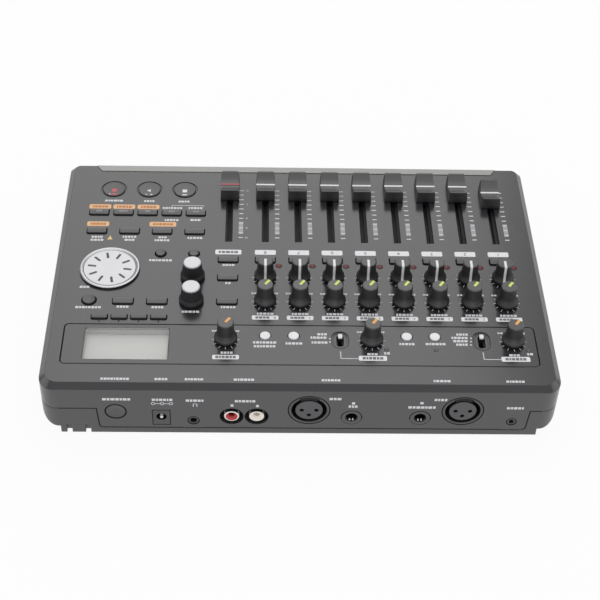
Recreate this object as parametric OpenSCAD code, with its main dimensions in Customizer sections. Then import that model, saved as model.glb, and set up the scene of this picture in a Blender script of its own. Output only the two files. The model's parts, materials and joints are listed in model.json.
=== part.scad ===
// Desktop digital multitrack recorder: eight channel strips, a master strip, transport keys,
// a data wheel and a display on a gently sloping top, with sockets along the rear wall.
// Millimetres. X runs to the player's right, Y to the rear wall and Z up from the table.
// Places on the top are given in the panel's own frame, which tilts about the X axis.

/* [Case] */
// Width of the case
case_w = 290; // [288:1:300]
// Depth of the case, from the rear wall to the foot of the front slope
case_d = 205.6; // [204:0.2:212]
// Height of the top panel's surface above the table at mid depth
panel_z = 37.2; // [36.6:0.1:40]
// Rise of the top panel towards the rear, in degrees
panel_tilt = 1.63; // [0.8:0.01:2.2]
// Thickness of the case walls
wall = 2.5; // [2:0.1:2.8]
// Width of the bevel round the top panel
bevel = 3.3; // [2.5:0.1:4]
// Radius of the rear corners, seen from above
rear_corner_r = 10; // [7:0.5:12]
// Radius of the front corners, seen from above
front_corner_r = 6; // [4.5:0.5:8]
// Distance by which the front leans back between its foot and its top edge
front_rake = 13; // [10:0.5:14]
// Height of the foot of the front slope
slope_foot_z = 7.5; // [7:0.1:9]
// Height of the base plate's underside above the table
base_z = 1.2; // [1:0.1:1.6]
// Height of the seam between base and rear wall
seam_z = 5.5; // [5:0.1:6]
// Height of the seam round the corner cheeks
cheek_top = 21.5; // [19:0.5:23]
// Height of the cheeks' underside
cheek_under_z = 6.5; // [6:0.1:7]
// Radius that rounds the cheeks under
cheek_r = 9; // [6:0.5:10]
// Distance of the base plate's edge from the side of the case
base_inset = 10.5; // [10:0.5:12]
// Distance of the low seam's left end from the side of the case, seen by the player
step_left_in = 17; // [15:0.5:17.5]
// Place of the low seam's right end on the rear wall, seen by the player
step_right_at = 112.8; // [112:0.1:114]
// Radius of the seam where it turns up to the cheeks
step_r = 2.5; // [1:0.1:3]

/* [Front panel] */
// Depth of the lip that shows on the top
lip_d = 5.2; // [4:0.1:6]
// Height of the lip above the top panel
lip_proud = 0.4; // [0:0.1:0.8]
// Distance of the front panel's ends from the sides of the case
front_end_in = 17; // [15:0.5:18.5]
// Width of the card door
door_w = 34; // [31:0.5:38]
// Height of the card door
door_h = 13; // [11:0.5:15]
// Thickness of the card door
door_t = 2; // [2:0.1:2.2]
// Place of the card door across the front
card_at = 72; // [50:1:90]
// Place of the computer socket across the front
usb_at = 30; // [20:1:45]
// Half the distance between the two microphone openings
mic_span_at = 108; // [90:1:115]

/* [Channel strips] */
// Distance between neighbouring tracks
track_spacing = 20.16; // [19.9:0.01:20.4]
// Place of the first track
first_track_at = -121; // [-122:0.1:-120]
// Place of the master strip
master_at = 42.4; // [41.5:0.1:43]
// Rest place of the fader caps, at the bottom of their travel
fader_at = -65.8; // [-67:0.1:-65]
// Length of the fader travel
fader_travel = 45; // [40:0.5:46]
// How far the first fader is pushed up
first_fader_up = 5.5; // [0:0.5:20]
// Width of a fader cap
fader_w = 11.8; // [10:0.1:12.5]
// Length of a fader cap
fader_l = 18.6; // [16:0.1:20]
// Height of a fader cap's near end above the panel
fader_h = 7.9; // [7:0.1:10]
// Height of a fader cap's far end above the panel
fader_far_h = 9.3; // [8:0.1:11]
// Depth of the finger hollow in a fader cap
fader_dip = 2; // [1:0.1:3]
// Width of the fader slots
slot_w = 4.3; // [3.6:0.1:5]

/* [Knobs] */
// Height of the pointer knobs above the panel
knob_h = 14; // [12:0.1:16]
// Radius of a pointer knob's skirt
knob_skirt_r = 6.65; // [6:0.05:7.2]
// Radius of a pointer knob at its top
knob_top_r = 4.55; // [4.2:0.05:5.2]
// Height of a pointer knob's underside above the panel
knob_foot = 1.5; // [0.8:0.1:2]
// Width of the pointer groove in a pan knob
pan_pointer_w = 1.3; // [0.8:0.1:1.6]
// Width of the pointer groove in the other knobs
pointer_w = 1.6; // [1:0.1:2]
// Height of the equaliser knobs above the panel
eq_knob_h = 12; // [10:0.1:14]
// Radius of an equaliser knob's collar
eq_collar_r = 7.25; // [6.8:0.05:7.8]
// Place of the equaliser knobs
eq_at = 63; // [62:0.1:64]
// Place of the pan knobs
pan_at = 14.1; // [13:0.1:15]
// Place of the reverb knobs
reverb_at = 34.6; // [33.5:0.1:36]
// Place of the rear row: level, trim knobs and slide switches
rear_row_at = 66; // [65:0.1:67]
// Radius of the data wheel
wheel_r = 17.4; // [15:0.1:17.8]
// Height of the data wheel above the panel
wheel_h = 1.4; // [1.3:0.1:5]
// Place of the data wheel across the panel
wheel_across = 112.4; // [111:0.1:113]
// Place of the data wheel along the panel
wheel_along = 7.9; // [7:0.1:9]
// Radius of the control shafts
shaft_r = 3; // [2.8:0.1:3.2]

/* [Keys] */
// Width of a key
key_w = 11.5; // [10:0.1:12]
// Depth of a key
key_d = 4.9; // [4.4:0.1:5.2]
// Height of a key above the panel
key_h = 1.3; // [0.9:0.1:2]
// Travel of a key
key_travel = 0.8; // [0.3:0.1:0.9]
// Width of a display key
display_key_w = 8.8; // [7:0.1:9]
// Depth of a display key
display_key_d = 3.4; // [3:0.1:4]
// Radius of a transport button
transport_r = 6.9; // [6:0.1:7.4]
// Height of a transport button above the panel
transport_h = 0.4; // [0.3:0.1:1]
// Width of the moat round a transport button
transport_gap = 1.1; // [0.6:0.1:1.2]
// Radius of a small round button
small_button_r = 2.9; // [2.6:0.1:3.4]
// Radius of the round edit button
edit_button_r = 3.8; // [3.4:0.1:4.3]
// Radius of a white mode button
mode_button_r = 3; // [2.6:0.1:3.4]
// Place of the transport buttons
transport_at = -66.6; // [-67.5:0.1:-66]
// Place of the row of five keys
row5_at = -43.9; // [-44.5:0.1:-43.3]
// Place of the row of four keys
row4_at = -26.5; // [-27:0.1:-26]
// Place of the rightmost key of both rows
right_key_at = 122.9; // [122:0.1:124]
// Distance between the keys of the row of five
row5_spacing = 14.9; // [14.6:0.05:15.2]
// Distance between the keys of the row of four
row4_spacing = 19.85; // [19.4:0.05:20.2]
// Place of the display keys
display_key_at = 48.4; // [48:0.1:48.8]
// Distance between the display keys
display_key_pitch = 11.3; // [11.2:0.05:11.6]
// Place of the record keys and the first select key
arm_key_at = -1.3; // [-2:0.1:-0.5]
// Width of the oval fields round the slide switches
well_w = 9.6; // [9:0.1:11]
// Travel of the slide switch of the first input
switch_a_travel = 5; // [4:0.1:6]
// Travel of the slide switch of the second input
switch_b_travel = 4; // [3:0.1:5]

/* [Display] */
// Width of the display window
window_w = 48; // [44:0.1:50]
// Depth of the display window
window_d = 25; // [22:0.1:26]
// Place of the display window across the panel
window_across = 98.4; // [97:0.1:99]
// Place of the display window along the panel
window_along = 69.7; // [69:0.1:70]
// Thickness of the window pane
pane_t = 1.2; // [1:0.1:1.4]

/* [Rear sockets] */
// Radius of a microphone socket's face
mic_face_r = 11.4; // [11:0.1:12]
// Height of the microphone sockets' axes
mic_z = 21.3; // [21:0.1:22]
// Radius of a line jack's bezel
jack_bezel_r = 5.7; // [5.2:0.1:6]
// Radius of a line jack's bore
jack_bore_r = 3.25; // [3.2:0.01:3.4]
// Height of the line jacks' axes
jack_z = 15.1; // [14.8:0.1:16]
// Distance between the pair of line output sockets
line_out_pitch = 14; // [13.6:0.1:14.5]
// Height of the line output sockets' axes
line_out_z = 15.6; // [15:0.1:16.5]
// Radius of the recess round a line output socket
line_out_recess_r = 6.3; // [5.8:0.1:6.4]
// Width of the power inlet
inlet_w = 9.6; // [9:0.1:11]
// Height of the power inlet
inlet_h = 12; // [11:0.1:12.4]
// Radius of the power button
power_r = 5.6; // [5:0.1:6.2]
// Height of the power button's axis
power_z = 19.1; // [18.5:0.1:20]
// Travel of the power button
power_travel = 1.8; // [1:0.1:2]

/* [Inside] */
// Depth of the control board's upper face below the panel's surface
board_depth = 12.5; // [12:0.1:13]
// Thickness of the boards
board_t = 1.6; // [1.2:0.1:1.8]
// Height of the main board's underside above the table
main_board_z = 5.3; // [5:0.1:5.6]
// Radius of the case posts
post_r = 3.5; // [3:0.1:3.8]
// Radius of the case screws
screw_r = 1.4; // [1.2:0.1:1.6]
// Radius of the rubber feet
foot_r = 6; // [5:0.1:8]
// Radius of the track lamps
lamp_r = 1.75; // [1.4:0.05:2]
// Radius of the small lamps beside the rear row
small_lamp_r = 1.1; // [0.9:0.05:1.4]

/* [Clearances] */
// Gap round everything that turns or slides
run_gap = 0.3; // [0.25:0.01:0.4]
// Gap round the keys and buttons
key_gap = 0.5; // [0.3:0.05:0.6]
// Gap round the small round buttons
round_gap = 0.7; // [0.4:0.05:0.8]
// Gap that shows round the microphone sockets
mic_gap = 0.35; // [0.1:0.05:0.5]
// Gap at the seams of the case
seam_gap = 0.3; // [0.25:0.01:0.4]
// Gap round pieces that are fixed in a hole
fit_gap = 0.15; // [0.1:0.01:0.2]

/* [Hidden] */
$fn = 48;
tracks = 8;

// Colours
body_grey = "#5f5f62";
key_grey = "#67676a";
soft_black = "#2a2a2c";
trim_silver = "#a6a6a4";
plain_white = "#e8e8ea";
board_green = "#2f5d46";
metal = "#b9bbbd";

// Case outline
half_w = case_w/2;
half_d = case_d/2;
front_y = -half_d + front_rake;
front_edge_z = panel_z + front_y*tan(panel_tilt);
slope_angle = atan2(front_edge_z - slope_foot_z, front_rake);
front_wall = wall/sin(slope_angle);
floor_z = base_z + wall;
tall = panel_z + half_d;
roof_depth = 45;
corner_ease = 0.8;
toe = 4;
step_lean = 0.9;
base_half_w = half_w - base_inset;
lip_slant = 3.4;

// Places across and along the case, written for a case of 290 by 205.6
function across(x) = x*case_w/290;
function along(y) = y*case_d/205.6;
step_left_x = step_left_in - half_w;
step_right_x = across(step_right_at);
front_half_w = half_w - front_end_in;
card_x = across(card_at);
usb_x = across(usb_at);
mic_half_span = across(mic_span_at);
master_x = across(master_at);
eq_x = across(eq_at);
wheel_x = across(wheel_across);
wheel_y = along(wheel_along);
window_x = across(window_across);
window_y = along(window_along);
fader_y = along(fader_at);
pan_y = along(pan_at);
reverb_y = along(reverb_at);
rear_row_y = along(rear_row_at);
arm_key_y = along(arm_key_at);
transport_y = along(transport_at);
small_round_y = along(-6.3);

// Posts and screws
pot_end = 8;
post_room = 0.6;
post_x = base_half_w - wall - post_r - post_room;
post_ys = [fader_y - pot_end - post_r - post_room, (pan_y + reverb_y)/2, half_d - 12];
post_places = [for (x = [-post_x, post_x], y = post_ys) [x, y]];
screw_l = 10;
head_r = 2.7;
head_h = 1.6;
head_sink = 0.2;
cross_slot = [3.2, 0.7, 1.6];
foot_in = 16;
foot_sink = 0.8;

// Panel places
function track_x(n) = across(first_track_at + (n - 1)*track_spacing);
track_pitch = across(track_spacing);
function fader_rest(n) = n == 1 ? fader_y + first_fader_up : fader_y;
strip_x = concat([for (n = [1:tracks]) track_x(n)], [master_x]);
trim_a_x = track_x(1);
trim_b_x = track_x(5);
pot_places = concat(
    [for (n = [1:tracks], y = [pan_y, reverb_y]) [track_x(n), y]],
    [for (x = [trim_a_x, trim_b_x, master_x]) [x, rear_row_y]],
    [[eq_x, pan_y], [eq_x, reverb_y], [wheel_x, wheel_y]]);
row5 = [for (i = [0:4]) [across(right_key_at - row5_spacing*i), along(row5_at)]];
row4 = [for (i = [0:3]) [across(right_key_at - row4_spacing*i), along(row4_at)]];
menu_y = reverb_y + 0.7;
menu_row = [for (x = [102.6, 83]) [across(x), menu_y]];
display_row = [for (i = [-1.5:1.5]) [window_x - 0.2 - display_key_pitch*i, along(display_key_at)]];
select_column = [for (y = [arm_key_y, pan_y + 0.4, reverb_y + 0.4]) [master_x, y]];
arm_row = [for (n = [1:tracks]) [track_x(n), arm_key_y]];
transport = [for (x = [115.6, 93.3, 71]) [across(x), transport_y]];
small_round = [[across(83), small_round_y], [eq_x, small_round_y]];
edit_round = [across(122.3), reverb_y + 0.1];
third_mode_x = across(-76.6);
mode_row = [for (x = [track_x(8), across(3.9), track_x(4), third_mode_x]) [x, rear_row_y - 3.3]];
switch_a = [across(-103.2), rear_row_y - 0.3];
switch_b = [across(-22.5), rear_row_y - 0.3];
lever_w = 2.4;
lever_l = 3;
lever_r = 0.6;
lever_top = 1.4;
lever_gap = 0.8;
field_step = 0.4;
field_rim = 1.1;
lever_end = 7;
fork_w = 1.8;
fork_l = 2.6;
lamp_side = 8.1;
track_lamps = [for (n = [1:tracks]) [track_x(n) - lamp_side, arm_key_y + 5.1]];
rear_lamps = [for (x = [trim_a_x - lamp_side, trim_b_x - lamp_side, third_mode_x]) [x, rear_row_y + 7]];
standoff_r = 2.2;
standoffs = [[track_x(1) + track_pitch/2, along(-35)], [master_x - 11.2, along(-35)],
    [track_x(1) + track_pitch/2, along(50.5)], [master_x + 10.4, (pan_y + reverb_y)/2]];

// Groove round the rear field of the panel
groove_x = half_w - 10.5;
groove_ys = [along(53.9), along(85.9)];
groove_r = 3;
groove_w = 0.7;
groove_depth = 0.4;

// Control parts under the panel
bush_r = shaft_r + 1.4;
bush_hole_r = bush_r + fit_gap + 0.25;
bush_top = -0.5;
shaft_end = 9;
knob_gap = 0.6;
pointer_low = 145;
wheel_turn = 28.5;
mode_button_h = 0.7;
fader_tip = 1.4;
fader_rib = 1;
blade_t = 1.8;
blade_l = 5;
slot_end = 0.6;
pot_body = [10, 11, 6.8];
slide_pot_w = 9;
slide_pot_h = 6.5;
blade_depth = 3.2;
switch_side = 6;
switch_body = 4;
stem_r = 1.5;
stem_end = board_depth - switch_body - key_travel - run_gap;
flange = 0.4;
flange_t = 1.2;
post_notch = post_r + 0.6;
window_edge = 0.3;
window_r = 1.2;
lcd_room = 2;
lcd_frame = 2;
lcd_recess = 0.6;
board_in = 13.5;

// Front places, up the slope from its foot
hinge_y = 3.4;
hinge_z = -door_t/2;
pin_r = 0.5;
pin_l = 1.2;
nail_r = 1.1;
nail_w = 12;
usb_up = 6.2;
usb_hole = [8.4, 3.8];
mic_up = 13;
mic_hole_r = 0.6;
mic_hole_ring = 2;

// Rear places
mic_xs = [across(-90.8), across(-4.7)];
jack_xs = [across(-67.3), across(-28.7)];
jack_sink = 0.7;
jack_body = [16, 24];
jack_bore_l = 22;
small_half = 4;
small_body_l = 12;
small_bore_l = 12;
line_out_body = 11;
line_out_low = 8;
line_out_room = 3;
line_out_x = across(31.5);
line_out_xs = [for (s = [-1, 1]) line_out_x + s*line_out_pitch/2];
headphone = [across(59.85), 11.8];
foot_jack = [25.75 - half_w, 12.4];
headphone_rs = [3, 1.8];
foot_jack_rs = [2.6, 1.3];
inlet = [across(77.7), 14.3];
power_x = across(103);
power_stem_end = 14;
power_dish_r = 36;
lock_slots = [half_w - 15.3, half_w - 25.8];
lock_slot_w = 3;
lock_slot_top = 7.6;
lock_slot_depth = 2.6;
lock_pad = [6, 1.2, 1.5];
shelf_w = 10.8;
shelf_h = 1.5;
sleeve_r = 4.15;
sleeve_bore_r = 1.7;
sleeve_funnel = 1.6;
mic_depth = 22;
mic_groove_rs = [7.6, 10];
mic_groove_depth = 12;
mic_plate = 25.6;
pin_ring = 4.1;
latch_w = 11;
latch_depth = 2.5;
latch_rs = [9.5, 10.9];
small_jacks = [[headphone, headphone_rs], [foot_jack, foot_jack_rs]];

// Main board and what it carries
main_board_top = main_board_z + board_t;
card_socket = [28, 30, 10];
card_slot = [24.4, 25, 2.4];
usb_socket = [9.2, 9, 8.4];
usb_slot = [7.2, 8, 3];
power_switch = 10;
board_post_r = 3;
board_posts = [for (x = [-1, 0, 1], y = [-half_d + 35, half_d - 20]) [x*across(100), y]];

// Places of the control frame and of the front slope
module on_panel() translate([0, 0, panel_z]) rotate([panel_tilt, 0, 0]) children();
module on_front() translate([0, -half_d, slope_foot_z]) rotate([slope_angle, 0, 0]) children();
module on_rear(x, z) translate([x, half_d, z]) rotate([-90, 0, 0]) children();

// Flat shapes
module rounded(w, d, r) {
    square([w - 2*r, d], center = true);
    square([w, d - 2*r], center = true);
    for (x = [-1, 1], y = [-1, 1])
        translate([x*(w/2 - r), y*(d/2 - r)]) circle(r);
}

module stadium(w, l) {
    square([w, l - w], center = true);
    for (y = [-1, 1]) translate([0, y*(l - w)/2]) circle(w/2);
}

module case_plan(inset) {
    w = half_w - inset;
    d = half_d - inset;
    rr = rear_corner_r - inset;
    rf = front_corner_r - inset;
    polygon([[-w + rf, -d], [w - rf, -d], [w, -d + rf], [w, d - rr],
        [w - rr, d], [-w + rr, d], [-w, d - rr], [-w, -d + rf]]);
    for (s = [-1, 1]) {
        translate([s*(w - rr), d - rr]) circle(rr);
        translate([s*(w - rf), -d + rf]) circle(rf);
    }
}

module roof_corner(r) {
    translate([0, 0, -roof_depth]) cylinder(h = roof_depth, r1 = r + roof_depth, r2 = r);
}

// Bevelled roof over the whole case, in the panel's frame
module roof() {
    side = half_w - bevel;
    rear = half_d - bevel;
    rr = rear_corner_r + corner_ease;
    rf = front_corner_r + corner_ease;
    cr = [half_w - rr, half_d - rr];
    cf = [half_w - rf, front_y - bevel + rf];
    h = roof_depth;
    translate([0, cr.y, 0]) rotate([90, 0, 0]) linear_extrude(cr.y - cf.y)
        polygon([[-side, 0], [side, 0], [side + h, -h], [-side - h, -h]]);
    rotate([90, 0, 90]) linear_extrude(2*cr.x, center = true)
        polygon([[0, 0], [rear, 0], [rear + h, -h], [0, -h]]);
    rotate([90, 0, 90]) linear_extrude(2*cf.x, center = true)
        polygon([[0, 0], [front_y, 0], [front_y - h, -h], [0, -h]]);
    for (s = [-1, 1]) {
        translate([s*cr.x, cr.y, 0]) roof_corner(rr - bevel);
        translate([s*cf.x, cf.y, 0]) roof_corner(rf - bevel);
    }
}

// Side outline of the case with its sloping front
module side_outline(inset) {
    rotate([90, 0, 90]) linear_extrude(case_w + 2*wall, center = true)
        polygon([[-half_d + inset, slope_foot_z],
            [-half_d + inset + 2*front_rake, 2*front_edge_z - slope_foot_z],
            [case_d, 2*front_edge_z - slope_foot_z], [case_d, 0],
            [-half_d + inset + toe, 0], [-half_d + inset, toe]]);
}

// Cross outline with the cheeks rounded under and the base plate below them
module cross_outline(inset) {
    w = half_w - inset;
    r = cheek_r - inset;
    under = cheek_under_z + inset;
    rotate([90, 0, 0]) linear_extrude(case_d + 2*wall, center = true) {
        translate([-w, under + r]) square([2*w, tall]);
        translate([-w + r, under]) square([2*(w - r), tall]);
        translate([-base_half_w + inset, base_z + inset]) square([2*(base_half_w - inset), tall]);
        for (s = [-1, 1]) translate([s*(w - r), under + r]) circle(r);
    }
}

module case_outside() {
    intersection() {
        linear_extrude(tall) case_plan(0);
        on_panel() roof();
        side_outline(0);
        cross_outline(0);
    }
}

module case_inside() {
    intersection() {
        linear_extrude(tall) case_plan(wall);
        on_panel() translate([-case_w, -case_d, -wall - tall]) cube([2*case_w, 2*case_d, tall]);
        side_outline(front_wall);
        cross_outline(wall);
    }
}

// Share of the case below the seam, which steps up at the corner cheeks
module base_share(grow) {
    high = cheek_top + grow;
    turn = [for (a = [0:15:90]) (step_r - grow)*[cos(a), -sin(a)]];
    right = [step_right_x - step_r, seam_z + step_r];
    left = [step_left_x + step_r, seam_z + step_r];
    rotate([90, 0, 0]) linear_extrude(2*case_d, center = true)
        polygon(concat(
            [[-case_w, -1], [case_w, -1], [case_w, high], [step_right_x + step_lean - grow, high]],
            [for (t = turn) right + t],
            [for (i = [len(turn) - 1:-1:0]) left + [-turn[i].x, turn[i].y]],
            [[step_left_x - step_lean + grow, high], [-case_w, high]]));
}

// Share of the case that the front panel takes
module front_share(grow) {
    w = front_half_w + grow;
    y = front_y + lip_d + grow;
    translate([0, 0, seam_z]) linear_extrude(tall)
        polygon([[-w, -case_d], [w, -case_d], [w, front_y], [w - lip_slant, y],
            [-w + lip_slant, y], [-w, front_y]]);
}

module at_places(places) for (p = places) translate([p.x, p.y, 0]) children();

// Opening for a slide switch's lever, and the stepped field round it
module lever_opening(place, travel) {
    translate([place.x, place.y])
        rounded(lever_w + 2*lever_gap, lever_l + travel + 2*lever_gap, lever_r + lever_gap);
}

module switch_field(place, travel) {
    for (step = [1, 2]) translate([place.x, place.y, -step*field_step]) linear_extrude(bevel)
        stadium(well_w - 2*(step - 1)*field_rim, well_w + travel - 2*(step - 1)*field_rim);
}

module groove() {
    d = groove_ys[1] - groove_ys[0];
    translate([0, groove_ys[0] + d/2, -groove_depth]) linear_extrude(bevel) difference() {
        rounded(2*groove_x, d, groove_r);
        rounded(2*(groove_x - groove_w), d - 2*groove_w, groove_r - groove_w);
    }
}

// Every hole in the top panel
module panel_holes() {
    translate([0, 0, -wall - 1]) linear_extrude(wall + 2 + bevel) {
        for (x = strip_x) translate([x, fader_y + fader_travel/2])
            square([slot_w, fader_travel + blade_l + 2*slot_end], center = true);
        at_places(pot_places) circle(bush_hole_r);
        at_places(concat(row5, row4, menu_row, select_column, arm_row))
            rounded(key_w + 2*key_gap, key_d + 2*key_gap, 0.9);
        at_places(display_row) rounded(display_key_w + 2*key_gap, display_key_d + 2*key_gap, 0.7);
        at_places(transport) circle(transport_r + transport_gap);
        at_places(small_round) circle(small_button_r + round_gap);
        at_places([edit_round]) circle(edit_button_r + round_gap);
        at_places(mode_row) circle(mode_button_r + key_gap);
        at_places(track_lamps) circle(lamp_r + fit_gap);
        at_places(rear_lamps) circle(small_lamp_r + fit_gap);
        lever_opening(switch_a, switch_a_travel);
        lever_opening(switch_b, switch_b_travel);
        translate([window_x, window_y])
            rounded(window_w - 2*window_edge, window_d - 2*window_edge, window_r - window_edge);
    }
    translate([window_x, window_y, -pane_t]) linear_extrude(pane_t + bevel)
        rounded(window_w, window_d, window_r);
    switch_field(switch_a, switch_a_travel);
    switch_field(switch_b, switch_b_travel);
    groove();
}

module rear_hole(x, z, r) on_rear(x, z) cylinder(h = 2*wall + 4, r = r, center = true);

// Every hole in the rear wall
module rear_holes() {
    deep = wall + 2;
    for (x = mic_xs) rear_hole(x, mic_z, mic_face_r + mic_gap);
    for (x = jack_xs) rear_hole(x, jack_z, jack_bezel_r + fit_gap);
    for (x = line_out_xs) rear_hole(x, line_out_z, line_out_recess_r);
    for (j = small_jacks) rear_hole(j[0].x, j[0].y, j[1][0] + fit_gap);
    rear_hole(power_x, power_z, power_r + key_gap);
    translate([inlet.x, half_d, inlet.y])
        cube([inlet_w + 2*fit_gap, 2*deep, inlet_h + 2*fit_gap], center = true);
}

// Case
module post(p) {
    top_z = panel_z + p.y*tan(panel_tilt) - wall/2;
    translate([p.x, p.y, floor_z]) cylinder(h = top_z - floor_z, r = post_r);
}

module top_case() {
    color(body_grey) difference() {
        union() {
            difference() {
                case_outside();
                case_inside();
                base_share(seam_gap);
                front_share(fit_gap);
            }
            for (p = post_places) post(p);
            on_panel() at_places(standoffs)
                translate([0, 0, -board_depth]) cylinder(h = board_depth - wall/2, r = standoff_r);
        }
        on_panel() panel_holes();
        rear_holes();
        for (p = post_places) translate([p.x, p.y, floor_z - 1])
            cylinder(h = screw_l + 2, r = screw_r + fit_gap);
    }
}

module bottom_case() {
    color(body_grey) difference() {
        union() {
            difference() {
                intersection() {
                    case_outside();
                    base_share(0);
                }
                case_inside();
                front_share(fit_gap);
            }
            at_places(board_posts)
                translate([0, 0, floor_z - 1]) cylinder(h = main_board_z - floor_z + 1, r = board_post_r);
            for (x = lock_slots)
                translate([x - lock_pad.x/2, half_d - wall - lock_pad.y, floor_z - 1])
                    cube([lock_pad.x, lock_pad.y + 1, lock_slot_top + lock_pad.z - floor_z + 1]);
        }
        for (p = post_places) translate([p.x, p.y, 0]) {
            cylinder(h = floor_z + 1, r = screw_r + run_gap);
            cylinder(h = base_z + head_sink + head_h, r = head_r + run_gap);
        }
        feet_solids(fit_gap);
        for (x = lock_slots)
            translate([x - lock_slot_w/2, half_d - lock_slot_depth, 0])
                cube([lock_slot_w, lock_slot_depth + 1, lock_slot_top]);
        for (j = small_jacks) translate([j[0].x - shelf_w/2, half_d - wall - 1, seam_z - shelf_h/3])
            cube([shelf_w, wall + 2, shelf_h]);
    }
}

module feet_solids(grow) {
    for (x = [-1, 1], y = [-1, 1])
        translate([x*(base_half_w - foot_in), y*(half_d - foot_in - 4), 0])
            cylinder(h = base_z + foot_sink, r = foot_r + grow);
}

module rubber_feet() color(soft_black) feet_solids(0);

module case_screws() {
    color(metal) for (p = post_places) translate([p.x, p.y, base_z + head_sink]) {
        difference() {
            cylinder(h = head_h, r = head_r);
            for (a = [0, 90]) rotate(a) cube(cross_slot, center = true);
        }
        cylinder(h = floor_z + screw_l - base_z - head_sink, r = screw_r);
    }
}

// Front panel with its lip, card opening, computer socket and microphone openings
module front_section() {
    lip_y = front_y + lip_d;
    lip_z = panel_z + lip_y*tan(panel_tilt);
    under_z = front_edge_z - wall;
    polygon([[front_y, front_edge_z + lip_proud], [lip_y, lip_z + lip_proud], [lip_y, lip_z - wall],
        [-half_d + front_wall + (under_z - slope_foot_z)/tan(slope_angle), under_z],
        [-half_d + front_wall, slope_foot_z], [-half_d + front_wall, seam_z + seam_gap],
        [-half_d, seam_z + seam_gap], [-half_d, slope_foot_z]]);
}

module front_panel() {
    deep = 4*wall;
    color(trim_silver) difference() {
        intersection() {
            rotate([90, 0, 90]) linear_extrude(2*front_half_w, center = true) front_section();
            front_share(0);
        }
        on_front() {
            translate([card_x - door_w/2 - key_gap, hinge_y - door_t/2 - key_gap, -deep/2])
                cube([door_w + 2*key_gap, door_h + door_t/2 + 2*key_gap, deep]);
            translate([card_x, hinge_y, hinge_z]) rotate([0, 90, 0])
                cylinder(h = door_w + 2*(pin_l + 2*key_gap), r = pin_r + run_gap, center = true);
            translate([usb_x, usb_up, -deep/2]) linear_extrude(deep) rounded(usb_hole.x, usb_hole.y, 0.8);
            for (s = [-1, 1], a = [0:60:300]) translate([s*mic_half_span, mic_up, -deep/2]) rotate(a)
                translate([mic_hole_ring, 0, 0]) cylinder(h = deep, r = mic_hole_r);
        }
    }
}

module card_door() {
    color(trim_silver) on_front() translate([card_x, hinge_y, hinge_z]) {
        difference() {
            translate([-door_w/2, 0, -door_t/2]) cube([door_w, door_h, door_t]);
            translate([0, door_h, door_t/2]) rotate([0, 90, 0])
                cylinder(h = nail_w, r = nail_r, center = true);
        }
        rotate([0, 90, 0]) cylinder(h = door_w, r = door_t/2, center = true);
        rotate([0, 90, 0]) cylinder(h = door_w + 2*(key_gap + pin_l), r = pin_r, center = true);
    }
}

// Display
module display_window() {
    color("#c8ccc8", 0.5) on_panel() translate([window_x, window_y, -pane_t])
        linear_extrude(pane_t) rounded(window_w - 2*fit_gap, window_d - 2*fit_gap, window_r - fit_gap);
}

module lcd_module() {
    h = board_depth - wall - lcd_room;
    color("#c9c9c6") on_panel() translate([window_x, window_y, -board_depth]) difference() {
        translate([0, 0, h/2]) cube([window_w + 2*lcd_frame, window_d + 2*lcd_frame, h], center = true);
        translate([0, 0, h]) cube([window_w, window_d, 2*lcd_recess], center = true);
    }
}

// Boards
module slide_switch_body(place, travel) {
    top = -wall - 2*run_gap;
    translate([place.x, place.y, -board_depth]) difference() {
        linear_extrude(board_depth + top) square([well_w + 2, well_w + travel + 2], center = true);
        translate([0, 0, board_depth - lever_end - run_gap]) linear_extrude(board_depth)
            square([fork_w + 2*run_gap, fork_l + travel + 2*run_gap], center = true);
    }
}

module control_board() {
    half = half_w - board_in;
    front = fader_y - 14;
    rear = rear_row_y + 10;
    color(board_green) on_panel() {
        difference() {
            translate([-half, front, -board_depth - board_t]) cube([2*half, rear - front, board_t]);
            at_places(post_places) translate([0, 0, -tall]) cylinder(h = 2*tall, r = post_notch);
        }
        at_places(concat(row5, row4, menu_row, display_row, select_column, arm_row, transport,
            small_round, [edit_round], mode_row))
            translate([-switch_side/2, -switch_side/2, -board_depth - board_t/2])
                cube([switch_side, switch_side, switch_body + board_t/2]);
        slide_switch_body(switch_a, switch_a_travel);
        slide_switch_body(switch_b, switch_b_travel);
    }
}

// Where a piece on the main board may start behind the sloping front, by the height of its top
function behind_front(z) = -half_d + front_wall + max(0, z - slope_foot_z)/tan(slope_angle) + 2*run_gap;

// Socket on the main board that opens to the front
module front_socket(x, size, slot) {
    y = behind_front(main_board_top + size.z);
    translate([x, y, main_board_top]) difference() {
        translate([-size.x/2, 0, -board_t/2]) cube([size.x, size.y, size.z + board_t/2]);
        translate([-slot.x/2, -1, size.z - slot.z - 1.3]) cube(slot);
    }
}

module main_board() {
    half = post_x - post_r - post_room;
    front = behind_front(main_board_top);
    rear = half_d - wall - 5*run_gap;
    switch_top = power_z + power_switch/2 + 0.5;
    color(board_green) {
        translate([-half, front, main_board_z]) cube([2*half, rear - front, board_t]);
        front_socket(card_x, card_socket, card_slot);
        front_socket(usb_x, usb_socket, usb_slot);
        translate([power_x - power_switch/2, half_d - power_stem_end - power_switch, main_board_z])
            cube([power_switch, power_switch, switch_top - main_board_z]);
    }
}

// Potentiometer and encoder bodies
module slide_pots() {
    half = fader_travel/2 + pot_end;
    slot_half = (fader_travel + blade_l)/2 + run_gap;
    color(metal) on_panel() for (x = strip_x) translate([x, fader_y + fader_travel/2, -board_depth])
        difference() {
            translate([-slide_pot_w/2, -half, 0]) cube([slide_pot_w, 2*half, slide_pot_h]);
            translate([-blade_t/2 - run_gap, -slot_half, slide_pot_h - blade_depth - run_gap])
                cube([blade_t + 2*run_gap, 2*slot_half, slide_pot_h]);
        }
}

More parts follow.
